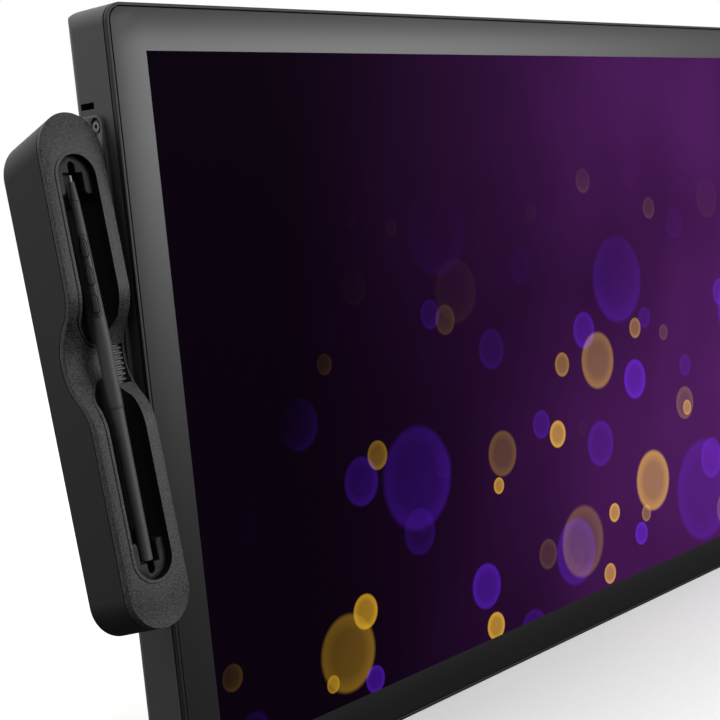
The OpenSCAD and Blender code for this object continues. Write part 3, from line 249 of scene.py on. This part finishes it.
def bare_metal(name, code, roughness, grit, stretch):
    """Metal with the fine lines of rolling, turning or casting."""
    # The eye sees a cool glint drawn out along the tool lines. The lines are drawn coarser than they are.
    material, tree, place = start_material(name)
    along = add_node(tree, "ShaderNodeMapping", {"Vector": place, "Scale": stretch})
    lines = add_node(tree, "ShaderNodeTexNoise", {
        "Vector": along.outputs["Vector"], "Scale": 1 / grit, "Detail": 3.0})
    tarnish = add_node(tree, "ShaderNodeTexNoise", {"Vector": place, "Scale": 1 / (9 * MM), "Detail": 4.0})
    tone = linear(code)
    skin = add_node(tree, "ShaderNodeMix", {
        "Factor": tarnish.outputs["Fac"], MIX_A: shade(tone, 0.82), MIX_B: shade(tone, 1.1)},
        data_type="RGBA")
    dull = add_node(tree, "ShaderNodeMapRange", {
        "Value": lines.outputs["Fac"], "To Min": roughness - 0.1, "To Max": roughness + 0.12})
    relief = add_node(tree, "ShaderNodeBump", {
        "Strength": 0.2, "Distance": 0.02 * MM, "Height": lines.outputs["Fac"]})
    close_material(tree, {
        "Base Color": skin.outputs[MIX_OUT], "Roughness": dull.outputs["Result"], "Metallic": 1.0,
        "Normal": relief.outputs["Normal"]})
    return material


def anodised_edge(name, tone):
    """Bead-blasted and anodised aluminium frame."""
    # The eye sees a dark satin metal line that flashes pale along its turned edge.
    material, tree, place = start_material(name)
    beads = add_node(tree, "ShaderNodeTexNoise", {"Vector": place, "Scale": 1 / (0.4 * MM), "Detail": 2.0})
    skin = add_node(tree, "ShaderNodeMix", {
        "Factor": beads.outputs["Fac"], MIX_A: shade(tone, 0.85), MIX_B: shade(tone, 1.15)},
        data_type="RGBA")
    dull = add_node(tree, "ShaderNodeMapRange", {
        "Value": beads.outputs["Fac"], "To Min": 0.45, "To Max": 0.6})
    relief = add_node(tree, "ShaderNodeBump", {
        "Strength": 0.15, "Distance": 0.02 * MM, "Height": beads.outputs["Fac"]})
    close_material(tree, {
        "Base Color": skin.outputs[MIX_OUT], "Roughness": dull.outputs["Result"], "Metallic": 1.0,
        "Normal": relief.outputs["Normal"]})
    return material


def printed_glass(name, tone):
    """Satin-etched glass over a dark ceramic print."""
    # The eye sees a deep charcoal band that takes a wide, milky reflection of the studio.
    material, tree, place = start_material(name)
    etch = add_node(tree, "ShaderNodeTexNoise", {"Vector": place, "Scale": 1 / (0.5 * MM), "Detail": 2.0})
    wash = add_node(tree, "ShaderNodeTexNoise", {"Vector": place, "Scale": 1 / (120 * MM), "Detail": 2.0})
    skin = add_node(tree, "ShaderNodeMix", {
        "Factor": wash.outputs["Fac"], MIX_A: shade(tone, 0.9), MIX_B: shade(tone, 1.1)}, data_type="RGBA")
    dull = add_node(tree, "ShaderNodeMapRange", {
        "Value": etch.outputs["Fac"], "To Min": 0.34, "To Max": 0.44})
    relief = add_node(tree, "ShaderNodeBump", {
        "Strength": 0.1, "Distance": 0.01 * MM, "Height": etch.outputs["Fac"]})
    close_material(tree, {
        "Base Color": skin.outputs[MIX_OUT], "Roughness": dull.outputs["Result"],
        "Normal": relief.outputs["Normal"], "IOR": 1.52})
    return material


def lit_picture(name, colours):
    """Lit liquid crystal picture behind coated glass: soft discs of light over a dark haze."""
    # The eye sees near black at the left, plum haze to the right, and out-of-focus violet and gold lights.
    material, tree, place = start_material(name)
    flat = add_node(tree, "ShaderNodeMapping", {"Vector": place, "Rotation": (-math.pi / 2, 0, 0)})
    across = add_node(tree, "ShaderNodeSeparateXYZ", {"Vector": flat.outputs["Vector"]})
    spread = add_node(tree, "ShaderNodeMapRange", {
        "Value": across.outputs["X"], "From Min": -0.24, "From Max": 0.26}, interpolation_type="SMOOTHSTEP")
    fall = add_node(tree, "ShaderNodeMapRange", {
        "Value": across.outputs["Y"], "From Min": 0.12, "From Max": -0.10}, interpolation_type="SMOOTHSTEP")
    slant = add_node(tree, "ShaderNodeVectorMath", {
        0: flat.outputs["Vector"], 1: (1, -0.6, 0)}, operation="DOT_PRODUCT")
    bank = add_node(tree, "ShaderNodeMapRange", {
        "Value": slant.outputs["Value"], "From Min": -0.24, "From Max": -0.06},
        interpolation_type="SMOOTHSTEP")
    reach = add_node(tree, "ShaderNodeMath", {
        0: bank.outputs["Result"], 1: fall.outputs["Result"]}, operation="MULTIPLY")
    haze = add_node(tree, "ShaderNodeTexNoise", {
        "Vector": flat.outputs["Vector"], "Scale": 1 / (180 * MM), "Detail": 2.0})
    veil = add_node(tree, "ShaderNodeMath", {
        0: haze.outputs["Fac"], 1: spread.outputs["Result"]}, operation="MULTIPLY")
    picture = add_node(tree, "ShaderNodeMix", {
        "Factor": veil.outputs["Value"], MIX_A: shade(colours.night, 1), MIX_B: shade(colours.plum, 1.8)},
        data_type="RGBA").outputs[MIX_OUT]
    # Spacing in mm, turn of the scatter, colour, random value above which a cell is lit, and brightness
    layers = (
        (150, 0.3, colours.violet, 0.15, 0.6),
        (96, 1.1, colours.gold, 0.45, 0.7),
        (62, 0.7, colours.violet, 0.35, 1.0),
        (40, 1.9, colours.gold, 0.62, 1.0),
    )
    for spacing, turn, light, rarity, strength in layers:
        scatter = add_node(tree, "ShaderNodeMapping", {
            "Vector": flat.outputs["Vector"], "Rotation": (0, 0, turn)})
        cells = add_node(tree, "ShaderNodeTexVoronoi", {
            "Vector": scatter.outputs["Vector"], "Scale": 1 / (spacing * MM), "Randomness": 0.5},
            voronoi_dimensions="2D")
        chance = add_node(tree, "ShaderNodeSeparateColor", {"Color": cells.outputs["Color"]})
        size = add_node(tree, "ShaderNodeMapRange", {
            "Value": chance.outputs["Green"], "To Min": 0.11, "To Max": 0.25})
        share = add_node(tree, "ShaderNodeMath", {
            0: cells.outputs["Distance"], 1: size.outputs["Result"]}, operation="DIVIDE")
        body = add_node(tree, "ShaderNodeMapRange", {
            "Value": share.outputs["Value"], "From Min": 1.0, "From Max": 0.86},
            interpolation_type="SMOOTHSTEP")
        rim = add_node(tree, "ShaderNodeMapRange", {
            "Value": share.outputs["Value"],
            "From Min": 0.55, "From Max": 0.95, "To Min": 0.55, "To Max": 1.0})
        disc = add_node(tree, "ShaderNodeMath", {
            0: body.outputs["Result"], 1: rim.outputs["Result"]}, operation="MULTIPLY")
        shown = add_node(tree, "ShaderNodeMapRange", {
            "Value": chance.outputs["Red"], "From Min": rarity, "From Max": 1.0, "To Max": strength})
        lit = add_node(tree, "ShaderNodeMath", {
            0: disc.outputs["Value"], 1: shown.outputs["Result"]}, operation="MULTIPLY")
        placed = add_node(tree, "ShaderNodeMath", {
            0: lit.outputs["Value"], 1: reach.outputs["Value"]}, operation="MULTIPLY")
        picture = add_node(tree, "ShaderNodeMix", {
            "Factor": placed.outputs["Value"], MIX_A: picture, MIX_B: shade(light, 1)},
            data_type="RGBA", blend_type="SCREEN").outputs[MIX_OUT]
    close_material(tree, {
        "Base Color": shade(colours.night, 0.2), "Roughness": 0.3, "Specular IOR Level": 0.001,
        "Emission Color": picture, "Emission Strength": 1.0})
    return material


def solder_mask(name, tone):
    """Glass-fibre board with green solder mask over copper tracks."""
    # The eye sees glossy green with paler tracks 0.5 mm wide and bright tinned pads.
    material, tree, place = start_material(name)
    tracks = add_node(tree, "ShaderNodeTexBrick", {
        "Vector": place, "Color1": shade(tone, 1.0), "Color2": shade(tone, 0.8), "Mortar": shade(tone, 1.9),
        "Scale": 1.0, "Mortar Size": 0.25 * MM, "Brick Width": 9 * MM, "Row Height": 2 * MM})
    pads = add_node(tree, "ShaderNodeTexVoronoi", {"Vector": place, "Scale": 1 / (6 * MM)})
    tinned = add_node(tree, "ShaderNodeMapRange", {
        "Value": pads.outputs["Distance"], "From Min": 0.12, "From Max": 0.09})
    skin = add_node(tree, "ShaderNodeMix", {
        "Factor": tinned.outputs["Result"],
        MIX_A: tracks.outputs["Color"], MIX_B: shade(linear("#b9bbb6"), 1)}, data_type="RGBA")
    relief = add_node(tree, "ShaderNodeBump", {
        "Strength": 0.3, "Distance": 0.03 * MM, "Height": tracks.outputs["Fac"]})
    close_material(tree, {
        "Base Color": skin.outputs[MIX_OUT], "Roughness": 0.32,
        "Normal": relief.outputs["Normal"], "IOR": 1.55})
    return material


def acetal(name, tone):
    """Turned acetal rod."""
    # The eye sees a waxy grey with faint tool marks, drawn coarser than they are.
    material, tree, place = start_material(name)
    marks = add_node(tree, "ShaderNodeTexNoise", {"Vector": place, "Scale": 1 / (0.3 * MM), "Detail": 1.0})
    skin = add_node(tree, "ShaderNodeMix", {
        "Factor": marks.outputs["Fac"], MIX_A: shade(tone, 0.85), MIX_B: shade(tone, 1.1)}, data_type="RGBA")
    relief = add_node(tree, "ShaderNodeBump", {
        "Strength": 0.2, "Distance": 0.02 * MM, "Height": marks.outputs["Fac"]})
    close_material(tree, {
        "Base Color": skin.outputs[MIX_OUT], "Roughness": 0.4,
        "Normal": relief.outputs["Normal"], "IOR": 1.48})
    return material


def wound_copper(name):
    """Enamelled copper wire wound on a ferrite tube."""
    # The eye sees tight orange-brown turns, drawn 0.4 mm apart, about four times as coarse as they are.
    material, tree, place = start_material(name)
    turns = add_node(tree, "ShaderNodeTexWave", {
        "Vector": place, "Scale": 1 / (1.26 * MM)}, bands_direction="Z")
    skin = add_node(tree, "ShaderNodeMix", {
        "Factor": turns.outputs["Fac"],
        MIX_A: shade(linear("#6a3216"), 1), MIX_B: shade(linear("#c9763a"), 1)}, data_type="RGBA")
    relief = add_node(tree, "ShaderNodeBump", {
        "Strength": 0.6, "Distance": 0.05 * MM, "Height": turns.outputs["Fac"]})
    close_material(tree, {
        "Base Color": skin.outputs[MIX_OUT], "Roughness": 0.35, "Metallic": 1.0,
        "Normal": relief.outputs["Normal"]})
    return material


def printed_sheet(name, code, dots, spacing, roughness):
    """Plastic sheet printed or moulded with a fine grid of dots."""
    # The eye sees an even sheet whose dot grid only shows close up.
    material, tree, place = start_material(name)
    grid = add_node(tree, "ShaderNodeTexVoronoi", {
        "Vector": place, "Scale": 1 / spacing, "Randomness": 0.0})
    dot = add_node(tree, "ShaderNodeMapRange", {
        "Value": grid.outputs["Distance"], "From Min": 0.3, "From Max": 0.2})
    skin = add_node(tree, "ShaderNodeMix", {
        "Factor": dot.outputs["Result"], MIX_A: shade(linear(code), 1), MIX_B: shade(linear(dots), 1)},
        data_type="RGBA")
    close_material(tree, {"Base Color": skin.outputs[MIX_OUT], "Roughness": roughness, "IOR": 1.5})
    return material


def studio_paper(name):
    """Matt white background paper."""
    # The eye sees an even pale ground with no gloss.
    material, tree, place = start_material(name)
    fibre = add_node(tree, "ShaderNodeTexNoise", {"Vector": place, "Scale": 1 / (2 * MM), "Detail": 2.0})
    skin = add_node(tree, "ShaderNodeMix", {
        "Factor": fibre.outputs["Fac"],
        MIX_A: shade(linear("#f3f3f2"), 1), MIX_B: shade(linear("#fafaf9"), 1)}, data_type="RGBA")
    close_material(tree, {"Base Color": skin.outputs[MIX_OUT], "Roughness": 0.95, "Specular IOR Level": 0.1})
    return material


def dress(material, *names):
    """Give CAD nodes a finish."""
    for name in names:
        NODES[name].data.materials.clear()
        NODES[name].data.materials.append(material)


def copy_of(name):
    """A merged copy of a CAD node with its flat faces whole again."""
    shape = bmesh.new()
    shape.from_mesh(NODES[name].data)
    bmesh.ops.remove_doubles(shape, verts=shape.verts[:], dist=0.002 * MM)
    bmesh.ops.dissolve_limit(
        shape, angle_limit=math.radians(0.2), verts=shape.verts[:], edges=shape.edges[:])
    return shape


def crease(edge):
    """Angle between an edge's two faces, positive where the edge stands out."""
    return edge.calc_face_angle_signed(0) if len(edge.link_faces) == 2 else 0


def round_over(shape, edges, radius, segments, clamp=True):
    """Round the given edges, by less where clamp is set and there is no room."""
    bmesh.ops.bevel(
        shape, geom=edges, offset=radius, offset_type="OFFSET", segments=segments, profile=0.5,
        affect="EDGES", clamp_overlap=clamp, loop_slide=True, material=-1)


def stand_for(shape, name, *materials):
    """Make a piece of the shape that stands for a CAD node, on its body and in its finish slot."""
    for face in shape.faces:
        face.smooth = True
    for edge in shape.edges:
        edge.smooth = abs(crease(edge)) < SMOOTH
    mesh = bpy.data.meshes.new(name + "_dressed")
    shape.to_mesh(mesh)
    shape.free()
    for material in materials:
        mesh.materials.append(material)
    piece = bpy.data.objects.new(mesh.name, mesh)
    bpy.context.scene.collection.objects.link(piece)
    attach(piece, BODY_OF[name])
    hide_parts(name)


def soften(material, radius, *names):
    """Replace CAD nodes by copies with rounded outer edges."""
    for name in names:
        shape = copy_of(name)
        edges = [edge for edge in shape.edges if crease(edge) > SHARP]
        round_over(shape, edges, radius, segments=2)
        stand_for(shape, name, material)


def end_rims(shape):
    """Sharp edges round the outside of a pen piece's two ends."""
    rims = []
    stations = [vert.co.dot(ALONG) for vert in shape.verts]
    for end in (min(stations), max(stations)):
        ring = {vert for vert in shape.verts if abs(vert.co.dot(ALONG) - end) < NEAR}
        middle = sum((vert.co for vert in ring), Vector()) / len(ring)
        reach = max((vert.co - middle).length for vert in ring)
        outer = {vert for vert in ring if (vert.co - middle).length > 0.85 * reach}
        rims += [edge for edge in shape.edges if outer.issuperset(edge.verts) and crease(edge) > SHARP]
    return rims


def round_tips(shape, radius):
    """Round the tips of a seat's two legs, which end towards the middle of the tray, and return its top."""
    low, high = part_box("tray_shell")
    centre = (low + high) / 2
    top = max(vert.co.dot(PEN_LIFT) for vert in shape.verts)
    face = [vert.co - centre for vert in shape.verts if top - vert.co.dot(PEN_LIFT) < NEAR]
    tip = min((place.dot(ALONG) for place in face), key=abs)
    away = math.copysign(1, tip)
    slot = min(abs(place.x) for place in face if abs(place.dot(ALONG) - tip) < NEAR)
    steps = 5
    for step in range(1, steps + 1):
        back = radius * (1 - math.cos(math.radians(90 * step / steps)))
        bmesh.ops.bisect_plane(
            shape, geom=shape.verts[:] + shape.edges[:] + shape.faces[:],
            plane_co=centre + (tip + away * back) * ALONG, plane_no=ALONG)
    # The outer corner is rounded by this share of the inner one, and its rounding runs out at this depth
    share = 0.7
    fade = 4 * MM
    for vert in shape.verts:
        place = vert.co - centre
        back = (place.dot(ALONG) - tip) * away
        depth = top - vert.co.dot(PEN_LIFT)
        if not -NEAR < back < radius or depth > fade or abs(place.x) < slot - NEAR:
            continue
        sag = radius - math.sqrt(radius ** 2 - (radius - max(back, 0)) ** 2)
        if abs(place.x) > slot + NEAR:
            vert.co.x -= math.copysign(share * sag * (1 - depth / fade), place.x)
        elif depth < NEAR:
            vert.co.x += math.copysign(sag, place.x)
    return top


class PENDISPLAY_OT_screen(bpy.types.Operator):
    """Dress the cover glass, the picture and the sheets behind them"""

    bl_idname = "pen_display.screen"
    bl_label = "Screen"

    def execute(self, context):
        colours = context.scene.pen_display_colours
        sizes = context.scene.pen_display_sizes
        border = printed_glass("etched glass over dark print", colours.border)
        picture = lit_picture("lit picture behind coated glass", colours)
        low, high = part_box("cover_glass")
        middle = (low + high) / 2
        half = Vector((sizes.picture_width / 2, 0, sizes.picture_height / 2))
        shape = copy_of("cover_glass")
        front = [edge for edge in shape.edges
                 if crease(edge) > SHARP and all(v.co.y < middle.y for v in edge.verts)]
        round_over(shape, front, 0.3 * MM, segments=2)
        for normal in (Vector((1, 0, 0)), Vector((-1, 0, 0)), Vector((0, 0, 1)), Vector((0, 0, -1))):
            reach = half.x * normal.x + half.z * normal.z
            side = middle + Vector((reach * abs(normal.x), 0, reach * abs(normal.z)))
            bmesh.ops.bisect_plane(
                shape, geom=shape.verts[:] + shape.edges[:] + shape.faces[:], plane_co=side, plane_no=normal)
        for face in shape.faces:
            place = face.calc_center_median() - middle
            inside = abs(place.x) < half.x and abs(place.z) < half.z
            face.material_index = 1 if inside and face.normal.y < -0.9 else 0
        stand_for(shape, "cover_glass", border, picture)
        dress(picture, "lcd_panel")
        film = printed_sheet(
            "touch film with fine sensor grid", "#0b0b0c", dots="#26262a", spacing=4 * MM, roughness=0.3)
        dress(film, "touch_sensor")
        guide = printed_sheet(
            "acrylic light guide", "#dcdcd6", dots="#f6f6f2", spacing=2 * MM, roughness=0.25)
        dress(guide, "backlight")
        return {"FINISHED"}


class PENDISPLAY_OT_housing(bpy.types.Operator):
    """Dress the frame round the glass and the rear cover"""

    bl_idname = "pen_display.housing"
    bl_label = "Housing"

    def execute(self, context):
        colours = context.scene.pen_display_colours
        sizes = context.scene.pen_display_sizes
        rim = anodised_edge("anodised aluminium frame", colours.frame_edge)
        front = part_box("front_frame")[0].y
        shape = copy_of("front_frame")
        outer = [edge for edge in shape.edges
                 if crease(edge) > SHARP and all(v.co.y < front + 0.1 * MM for v in edge.verts)]
        round_over(shape, outer, 0.3 * MM, segments=2)
        stand_for(shape, "front_frame", rim)
        skin = moulded_abs(
            "moulded housing", colours.housing, sizes.grain, contrast=0.25, roughness=0.52, edge=sizes.edge)
        dress(skin, "rear_cover")
        dress(bare_metal("zinc-plated screws", "#a9abad", roughness=0.34, grit=0.2 * MM, stretch=(1, 1, 1)),
              "housing_screws", "vesa_screws", "board_screws", "tray_screws", "cap_screws")
        return {"FINISHED"}


class PENDISPLAY_OT_chassis(bpy.types.Operator):
    """Dress the chassis, the shield and the bolt plate"""

    bl_idname = "pen_display.chassis"
    bl_label = "Chassis"

    def execute(self, context):
        dress(bare_metal("die-cast magnesium", "#b3b5b8", roughness=0.55, grit=1.2 * MM, stretch=(1, 1, 1)),
              "mid_chassis")
        rolled = bare_metal(
            "rolled steel sheet", "#a3a6a8", roughness=0.4, grit=0.5 * MM, stretch=(0.05, 1, 1))
        dress(rolled, "shield_plate", "vesa_plate")
        return {"FINISHED"}


class PENDISPLAY_OT_electronics(bpy.types.Operator):
    """Dress the circuit boards and the sockets"""

    bl_idname = "pen_display.electronics"
    bl_label = "Electronics"

    def execute(self, context):
        colours = context.scene.pen_display_colours
        dress(solder_mask("solder mask on glass fibre", colours.board),
              "digitizer_board", "main_board", "key_board_left", "key_board_right", "switch_board",
              "pen_board")
        nickel = bare_metal(
            "nickel-plated shells", "#c3c2bd", roughness=0.3, grit=0.3 * MM, stretch=(1, 0.1, 1))
        dress(nickel, "video_sockets", "usb_sockets")
        socket = moulded_abs(
            "black socket moulding", colours.black, 0.4 * MM, contrast=0.2, roughness=0.4, edge=0.2 * MM)
        dress(socket, "power_socket")
        return {"FINISHED"}


class PENDISPLAY_OT_cooling(bpy.types.Operator):
    """Dress the fans and the heat spreader"""

    bl_idname = "pen_display.cooling"
    bl_label = "Cooling"

    def execute(self, context):
        colours = context.scene.pen_display_colours
        fan = moulded_abs(
            "black fan moulding", colours.black, 0.5 * MM, contrast=0.2, roughness=0.42, edge=0.2 * MM)
        dress(fan, "fan_housing_left", "fan_housing_right", "fan_rotor_left", "fan_rotor_right")
        extruded = bare_metal(
            "extruded aluminium", "#c6c8ca", roughness=0.38, grit=0.4 * MM, stretch=(1, 1, 0.05))
        dress(extruded, "heat_spreader")
        return {"FINISHED"}


class PENDISPLAY_OT_keys(bpy.types.Operator):
    """Dress the rear keys and the two controls on the top edge"""

    bl_idname = "pen_display.keys"
    bl_label = "Keys and controls"

    def execute(self, context):
        colours = context.scene.pen_display_colours
        satin = moulded_abs(
            "satin key caps", colours.keys, 0.4 * MM, contrast=0.2, roughness=0.42, edge=0.3 * MM)
        columns = [f"key_{side}_{place}" for side in ("left", "right") for place in (1, 2, 3, 4)]
        soften(satin, 0.35 * MM, *columns)
        soften(satin, 0.3 * MM, "power_button", "touch_switch")
        return {"FINISHED"}


class PENDISPLAY_OT_side_fixings(bpy.types.Operator):
    """Dress the bracket plate, its screws and the threaded inserts"""

    bl_idname = "pen_display.side_fixings"
    bl_label = "Side fixings"

    def execute(self, context):
        colours = context.scene.pen_display_colours
        soften(coated_steel("powder-coated bracket", colours.bracket), 0.5 * MM, "tray_bracket")
        dark = bare_metal(
            "black nickel screws", "#6e6e70", roughness=0.36, grit=0.15 * MM, stretch=(1, 1, 1))
        dress(dark, "bracket_screws")
        dress(bare_metal("knurled brass", "#b99a5a", roughness=0.35, grit=0.3 * MM, stretch=(1, 1, 1)),
              "side_inserts")
        return {"FINISHED"}


class PENDISPLAY_OT_pen_tray(bpy.types.Operator):
    """Dress the tray's cap and shell, with the rounded rim round its face and painted shade on the channel's faces
    """

    bl_idname = "pen_display.pen_tray"
    bl_label = "Pen tray"

    def execute(self, context):
        colours = context.scene.pen_display_colours
        sizes = context.scene.pen_display_sizes
        low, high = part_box("tray_shell")
        centre = (low + high) / 2
        radius = (high.x - low.x) / 2
        straight = (high - low).dot(ALONG) / 2 - radius
        shape = copy_of("tray_cap")
        rim = []
        for edge in shape.edges:
            if crease(edge) < SHARP:
                continue
            point = (edge.verts[0].co + edge.verts[1].co) / 2
            run = (point - centre).dot(ALONG)
            over = math.copysign(max(abs(run) - straight, 0), run)
            outward = Vector((point.x - centre.x, 0, 0)) + over * ALONG
            side, face = sorted((face.normal for face in edge.link_faces), key=PEN_LIFT.dot)
            outer = outward.length > 0.8 * radius and side.dot(outward) > 0.5 * radius
            if outer and face.dot(PEN_LIFT) > 0.3:
                rim.append(edge)
        round_over(shape, rim, sizes.rim, segments=2)
        # The channel's walls, ends and round floor run along or across the tray. The saddle slopes. These faces
        # get painted shade: a near-black, duller second finish of the same moulding.
        top = max(vert.co.dot(PEN_LIFT) for vert in shape.verts)
        for face in shape.faces:
            place = face.calc_center_median()
            aside = abs(place.x - centre.x) < sizes.channel_width / 2 + 0.05 * MM
            shallow = 0.5 * MM < top - place.dot(PEN_LIFT) < sizes.channel_depth + 0.2 * MM
            plain = abs(face.normal.dot(ALONG) * face.normal.dot(PEN_LIFT)) < 0.01
            inward = face.normal.dot(place - centre) < 0 or abs(face.normal.dot(PEN_LIFT)) > 0.1
            face.material_index = 1 if aside and shallow and plain and inward else 0
        cap = moulded_abs(
            "spark-eroded tray cap", colours.tray_cap, sizes.grain,
            contrast=0.9, roughness=0.52, edge=sizes.edge, shine=0.4)
        fine = 0.7 * sizes.grain
        # Painted shade: a near-black, duller copy of the cap's moulding for the channel's faces
        channel_shade = moulded_abs(
            "dull black painted channel shade", colours.channel_shade, fine,
            contrast=0.25, roughness=0.7, edge=sizes.edge, shine=0.15)
        stand_for(shape, "tray_cap", cap, channel_shade)
        shell = moulded_abs(
            "fine matt tray shell", colours.tray_shell, fine,
            contrast=0.25, roughness=0.56, edge=sizes.edge, shine=0.25)
        dress(shell, "tray_shell")
        return {"FINISHED"}


class PENDISPLAY_OT_seats(bpy.types.Operator):
    """Dress the pen seats, the nib rack and the spare nibs"""

    bl_idname = "pen_display.seats"
    bl_label = "Seats and nibs"

    def execute(self, context):
        colours = context.scene.pen_display_colours
        sizes = context.scene.pen_display_sizes
        satin = moulded_abs(
            "satin pen seats", colours.seat, 0.5 * MM,
            contrast=0.2, roughness=0.55, edge=0.3 * MM, shine=0.3)
        for name in ("seat_upper", "seat_lower"):
            shape = copy_of(name)
            top = round_tips(shape, sizes.seat_tip)
            brim = [edge for edge in shape.edges if crease(edge) > SHARP
                    and all(top - vert.co.dot(PEN_LIFT) < NEAR for vert in edge.verts)]
            round_over(shape, brim, sizes.brim, segments=2, clamp=False)
            stand_for(shape, name, satin)
        rack = moulded_abs(
            "black nib rack", colours.black, 0.4 * MM, contrast=0.2, roughness=0.4, edge=0.1 * MM)
        dress(rack, "nib_rack")
        dress(acetal("pale turned acetal", colours.nib), "pen_nib")
        dress(acetal("dark turned acetal", colours.spare_nib), "spare_nibs")
        return {"FINISHED"}


class PENDISPLAY_OT_pen(bpy.types.Operator):
    """Dress the pen, its switch plate and its buttons"""

    bl_idname = "pen_display.pen"
    bl_label = "Pen"

    def execute(self, context):
        colours = context.scene.pen_display_colours
        sizes = context.scene.pen_display_sizes
        coat = soft_coat("soft-touch pen coat", colours.pen)
        for name in ("pen_nose", "pen_barrel", "pen_tail"):
            shape = copy_of(name)
            round_over(shape, end_rims(shape), sizes.edge, segments=2, clamp=False)
            stand_for(shape, name, coat)
        trim = moulded_abs(
            "satin pen trim", colours.pen_trim, 0.4 * MM, contrast=0.2, roughness=0.42, edge=0.1 * MM)
        soften(trim, 0.4 * MM, "pen_switch_plate")
        soften(trim, 0.25 * MM, "pen_button_front", "pen_button_middle", "pen_button_rear")
        dress(wound_copper("enamelled copper winding"), "pen_coil")
        return {"FINISHED"}


class PENDISPLAY_OT_stage(bpy.types.Operator):
    """Set up the paper floor, the soft lights and the camera"""

    bl_idname = "pen_display.stage"
    bl_label = "Stage"

    def execute(self, context):
        scene = context.scene
        ground = bmesh.new()
        bmesh.ops.create_grid(ground, x_segments=1, y_segments=1, size=14)
        bmesh.ops.translate(ground, verts=ground.verts[:], vec=(0, 0, CAD_BOX[0][2] - 0.1 * MM))
        mesh = bpy.data.meshes.new("floor")
        ground.to_mesh(mesh)
        ground.free()
        mesh.materials.append(studio_paper("white studio paper"))
        floor = bpy.data.objects.new("floor", mesh)
        scene.collection.objects.link(floor)
        # The paper stays out of the reflections, as a floor lit on its own would
        floor.visible_diffuse = False
        floor.visible_glossy = False

        world = bpy.data.worlds.new("white studio")
        world.use_nodes = True
        tree = world.node_tree
        tree.nodes.clear()
        path = add_node(tree, "ShaderNodeLightPath")
        aim = add_node(tree, "ShaderNodeTexCoord")
        height = add_node(tree, "ShaderNodeVectorMath", {
            0: aim.outputs["Generated"], 1: (0, 0.4, 0.92)}, operation="DOT_PRODUCT")
        dome = add_node(tree, "ShaderNodeMapRange", {
            "Value": height.outputs["Value"],
            "From Min": -0.1, "From Max": 0.8, "To Min": 0.05, "To Max": 1.6},
            interpolation_type="SMOOTHSTEP")
        glow = add_node(tree, "ShaderNodeMapRange", {
            "Value": path.outputs["Is Camera Ray"], "To Min": dome.outputs["Result"], "To Max": 1.0})
        background = add_node(tree, "ShaderNodeBackground", {
            "Color": (1, 1, 1, 1), "Strength": glow.outputs["Result"]})
        add_node(tree, "ShaderNodeOutputWorld", {"Surface": background.outputs["Background"]})
        scene.world = world

        # A wide panel at the right front, and a tall narrow one before the tray
        lights = (
            ("panel", (1.1, -1.72, 0.42), (-0.2, -0.03, 0.1), 1.6, 0.55, 24),
            ("strip", (-0.3, -2.2, -0.1), (-0.34, -0.04, -0.05), 0.5, 1.2, 4),
        )
        for name, place, target, width, height, watts in lights:
            lamp = bpy.data.lights.new(name, "AREA")
            lamp.shape = "RECTANGLE"
            lamp.size = width
            lamp.size_y = height
            lamp.energy = watts
            fitting = bpy.data.objects.new(name, lamp)
            fitting.location = place
            fitting.rotation_euler = (Vector(target) - Vector(place)).to_track_quat("-Z", "Y").to_euler()
            scene.collection.objects.link(fitting)

        lens = bpy.data.cameras.new("camera")
        lens.sensor_width = 36
        lens.lens = 76.18
        lens.clip_start = 0.05
        camera = bpy.data.objects.new("camera", lens)
        right = Vector((0.667889, -0.737741, -0.098300))
        up = Vector((0.138433, -0.006632, 0.990350))
        turn = Matrix((right, up, right.cross(up))).transposed()
        camera.matrix_world = Matrix.Translation((-0.7616, -0.5719, 0.0862)) @ turn.to_4x4()
        scene.collection.objects.link(camera)
        scene.camera = camera
        scene.view_settings.view_transform = "Standard"
        return {"FINISHED"}


class PENDISPLAY_PT_panel(bpy.types.Panel):
    """Steps that dress the pen display"""

    bl_idname = "PENDISPLAY_PT_panel"
    bl_label = "Pen display"
    bl_space_type = "VIEW_3D"
    bl_region_type = "UI"
    bl_category = "Pen display"

    def draw(self, context):
        for step in STEPS:
            self.layout.operator(step.bl_idname)


STEPS = (
    PENDISPLAY_OT_screen,
    PENDISPLAY_OT_housing,
    PENDISPLAY_OT_chassis,
    PENDISPLAY_OT_electronics,
    PENDISPLAY_OT_cooling,
    PENDISPLAY_OT_keys,
    PENDISPLAY_OT_side_fixings,
    PENDISPLAY_OT_pen_tray,
    PENDISPLAY_OT_seats,
    PENDISPLAY_OT_pen,
    PENDISPLAY_OT_stage,
)
CLASSES = (PenDisplayColours, PenDisplaySizes) + STEPS + (PENDISPLAY_PT_panel,)


def register():
    """Register the classes and the two groups of properties."""
    for item in CLASSES:
        bpy.utils.register_class(item)
    bpy.types.Scene.pen_display_colours = bpy.props.PointerProperty(type=PenDisplayColours)
    bpy.types.Scene.pen_display_sizes = bpy.props.PointerProperty(type=PenDisplaySizes)


def unregister():
    """Take the properties and the classes away again."""
    del bpy.types.Scene.pen_display_sizes
    del bpy.types.Scene.pen_display_colours
    for item in reversed(CLASSES):
        bpy.utils.unregister_class(item)


def main():
    """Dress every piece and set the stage."""
    register()
    bpy.ops.pen_display.screen()
    bpy.ops.pen_display.housing()
    bpy.ops.pen_display.chassis()
    bpy.ops.pen_display.electronics()
    bpy.ops.pen_display.cooling()
    bpy.ops.pen_display.keys()
    bpy.ops.pen_display.side_fixings()
    bpy.ops.pen_display.pen_tray()
    bpy.ops.pen_display.seats()
    bpy.ops.pen_display.pen()
    bpy.ops.pen_display.stage()


if __name__ == "__main__":
    main()
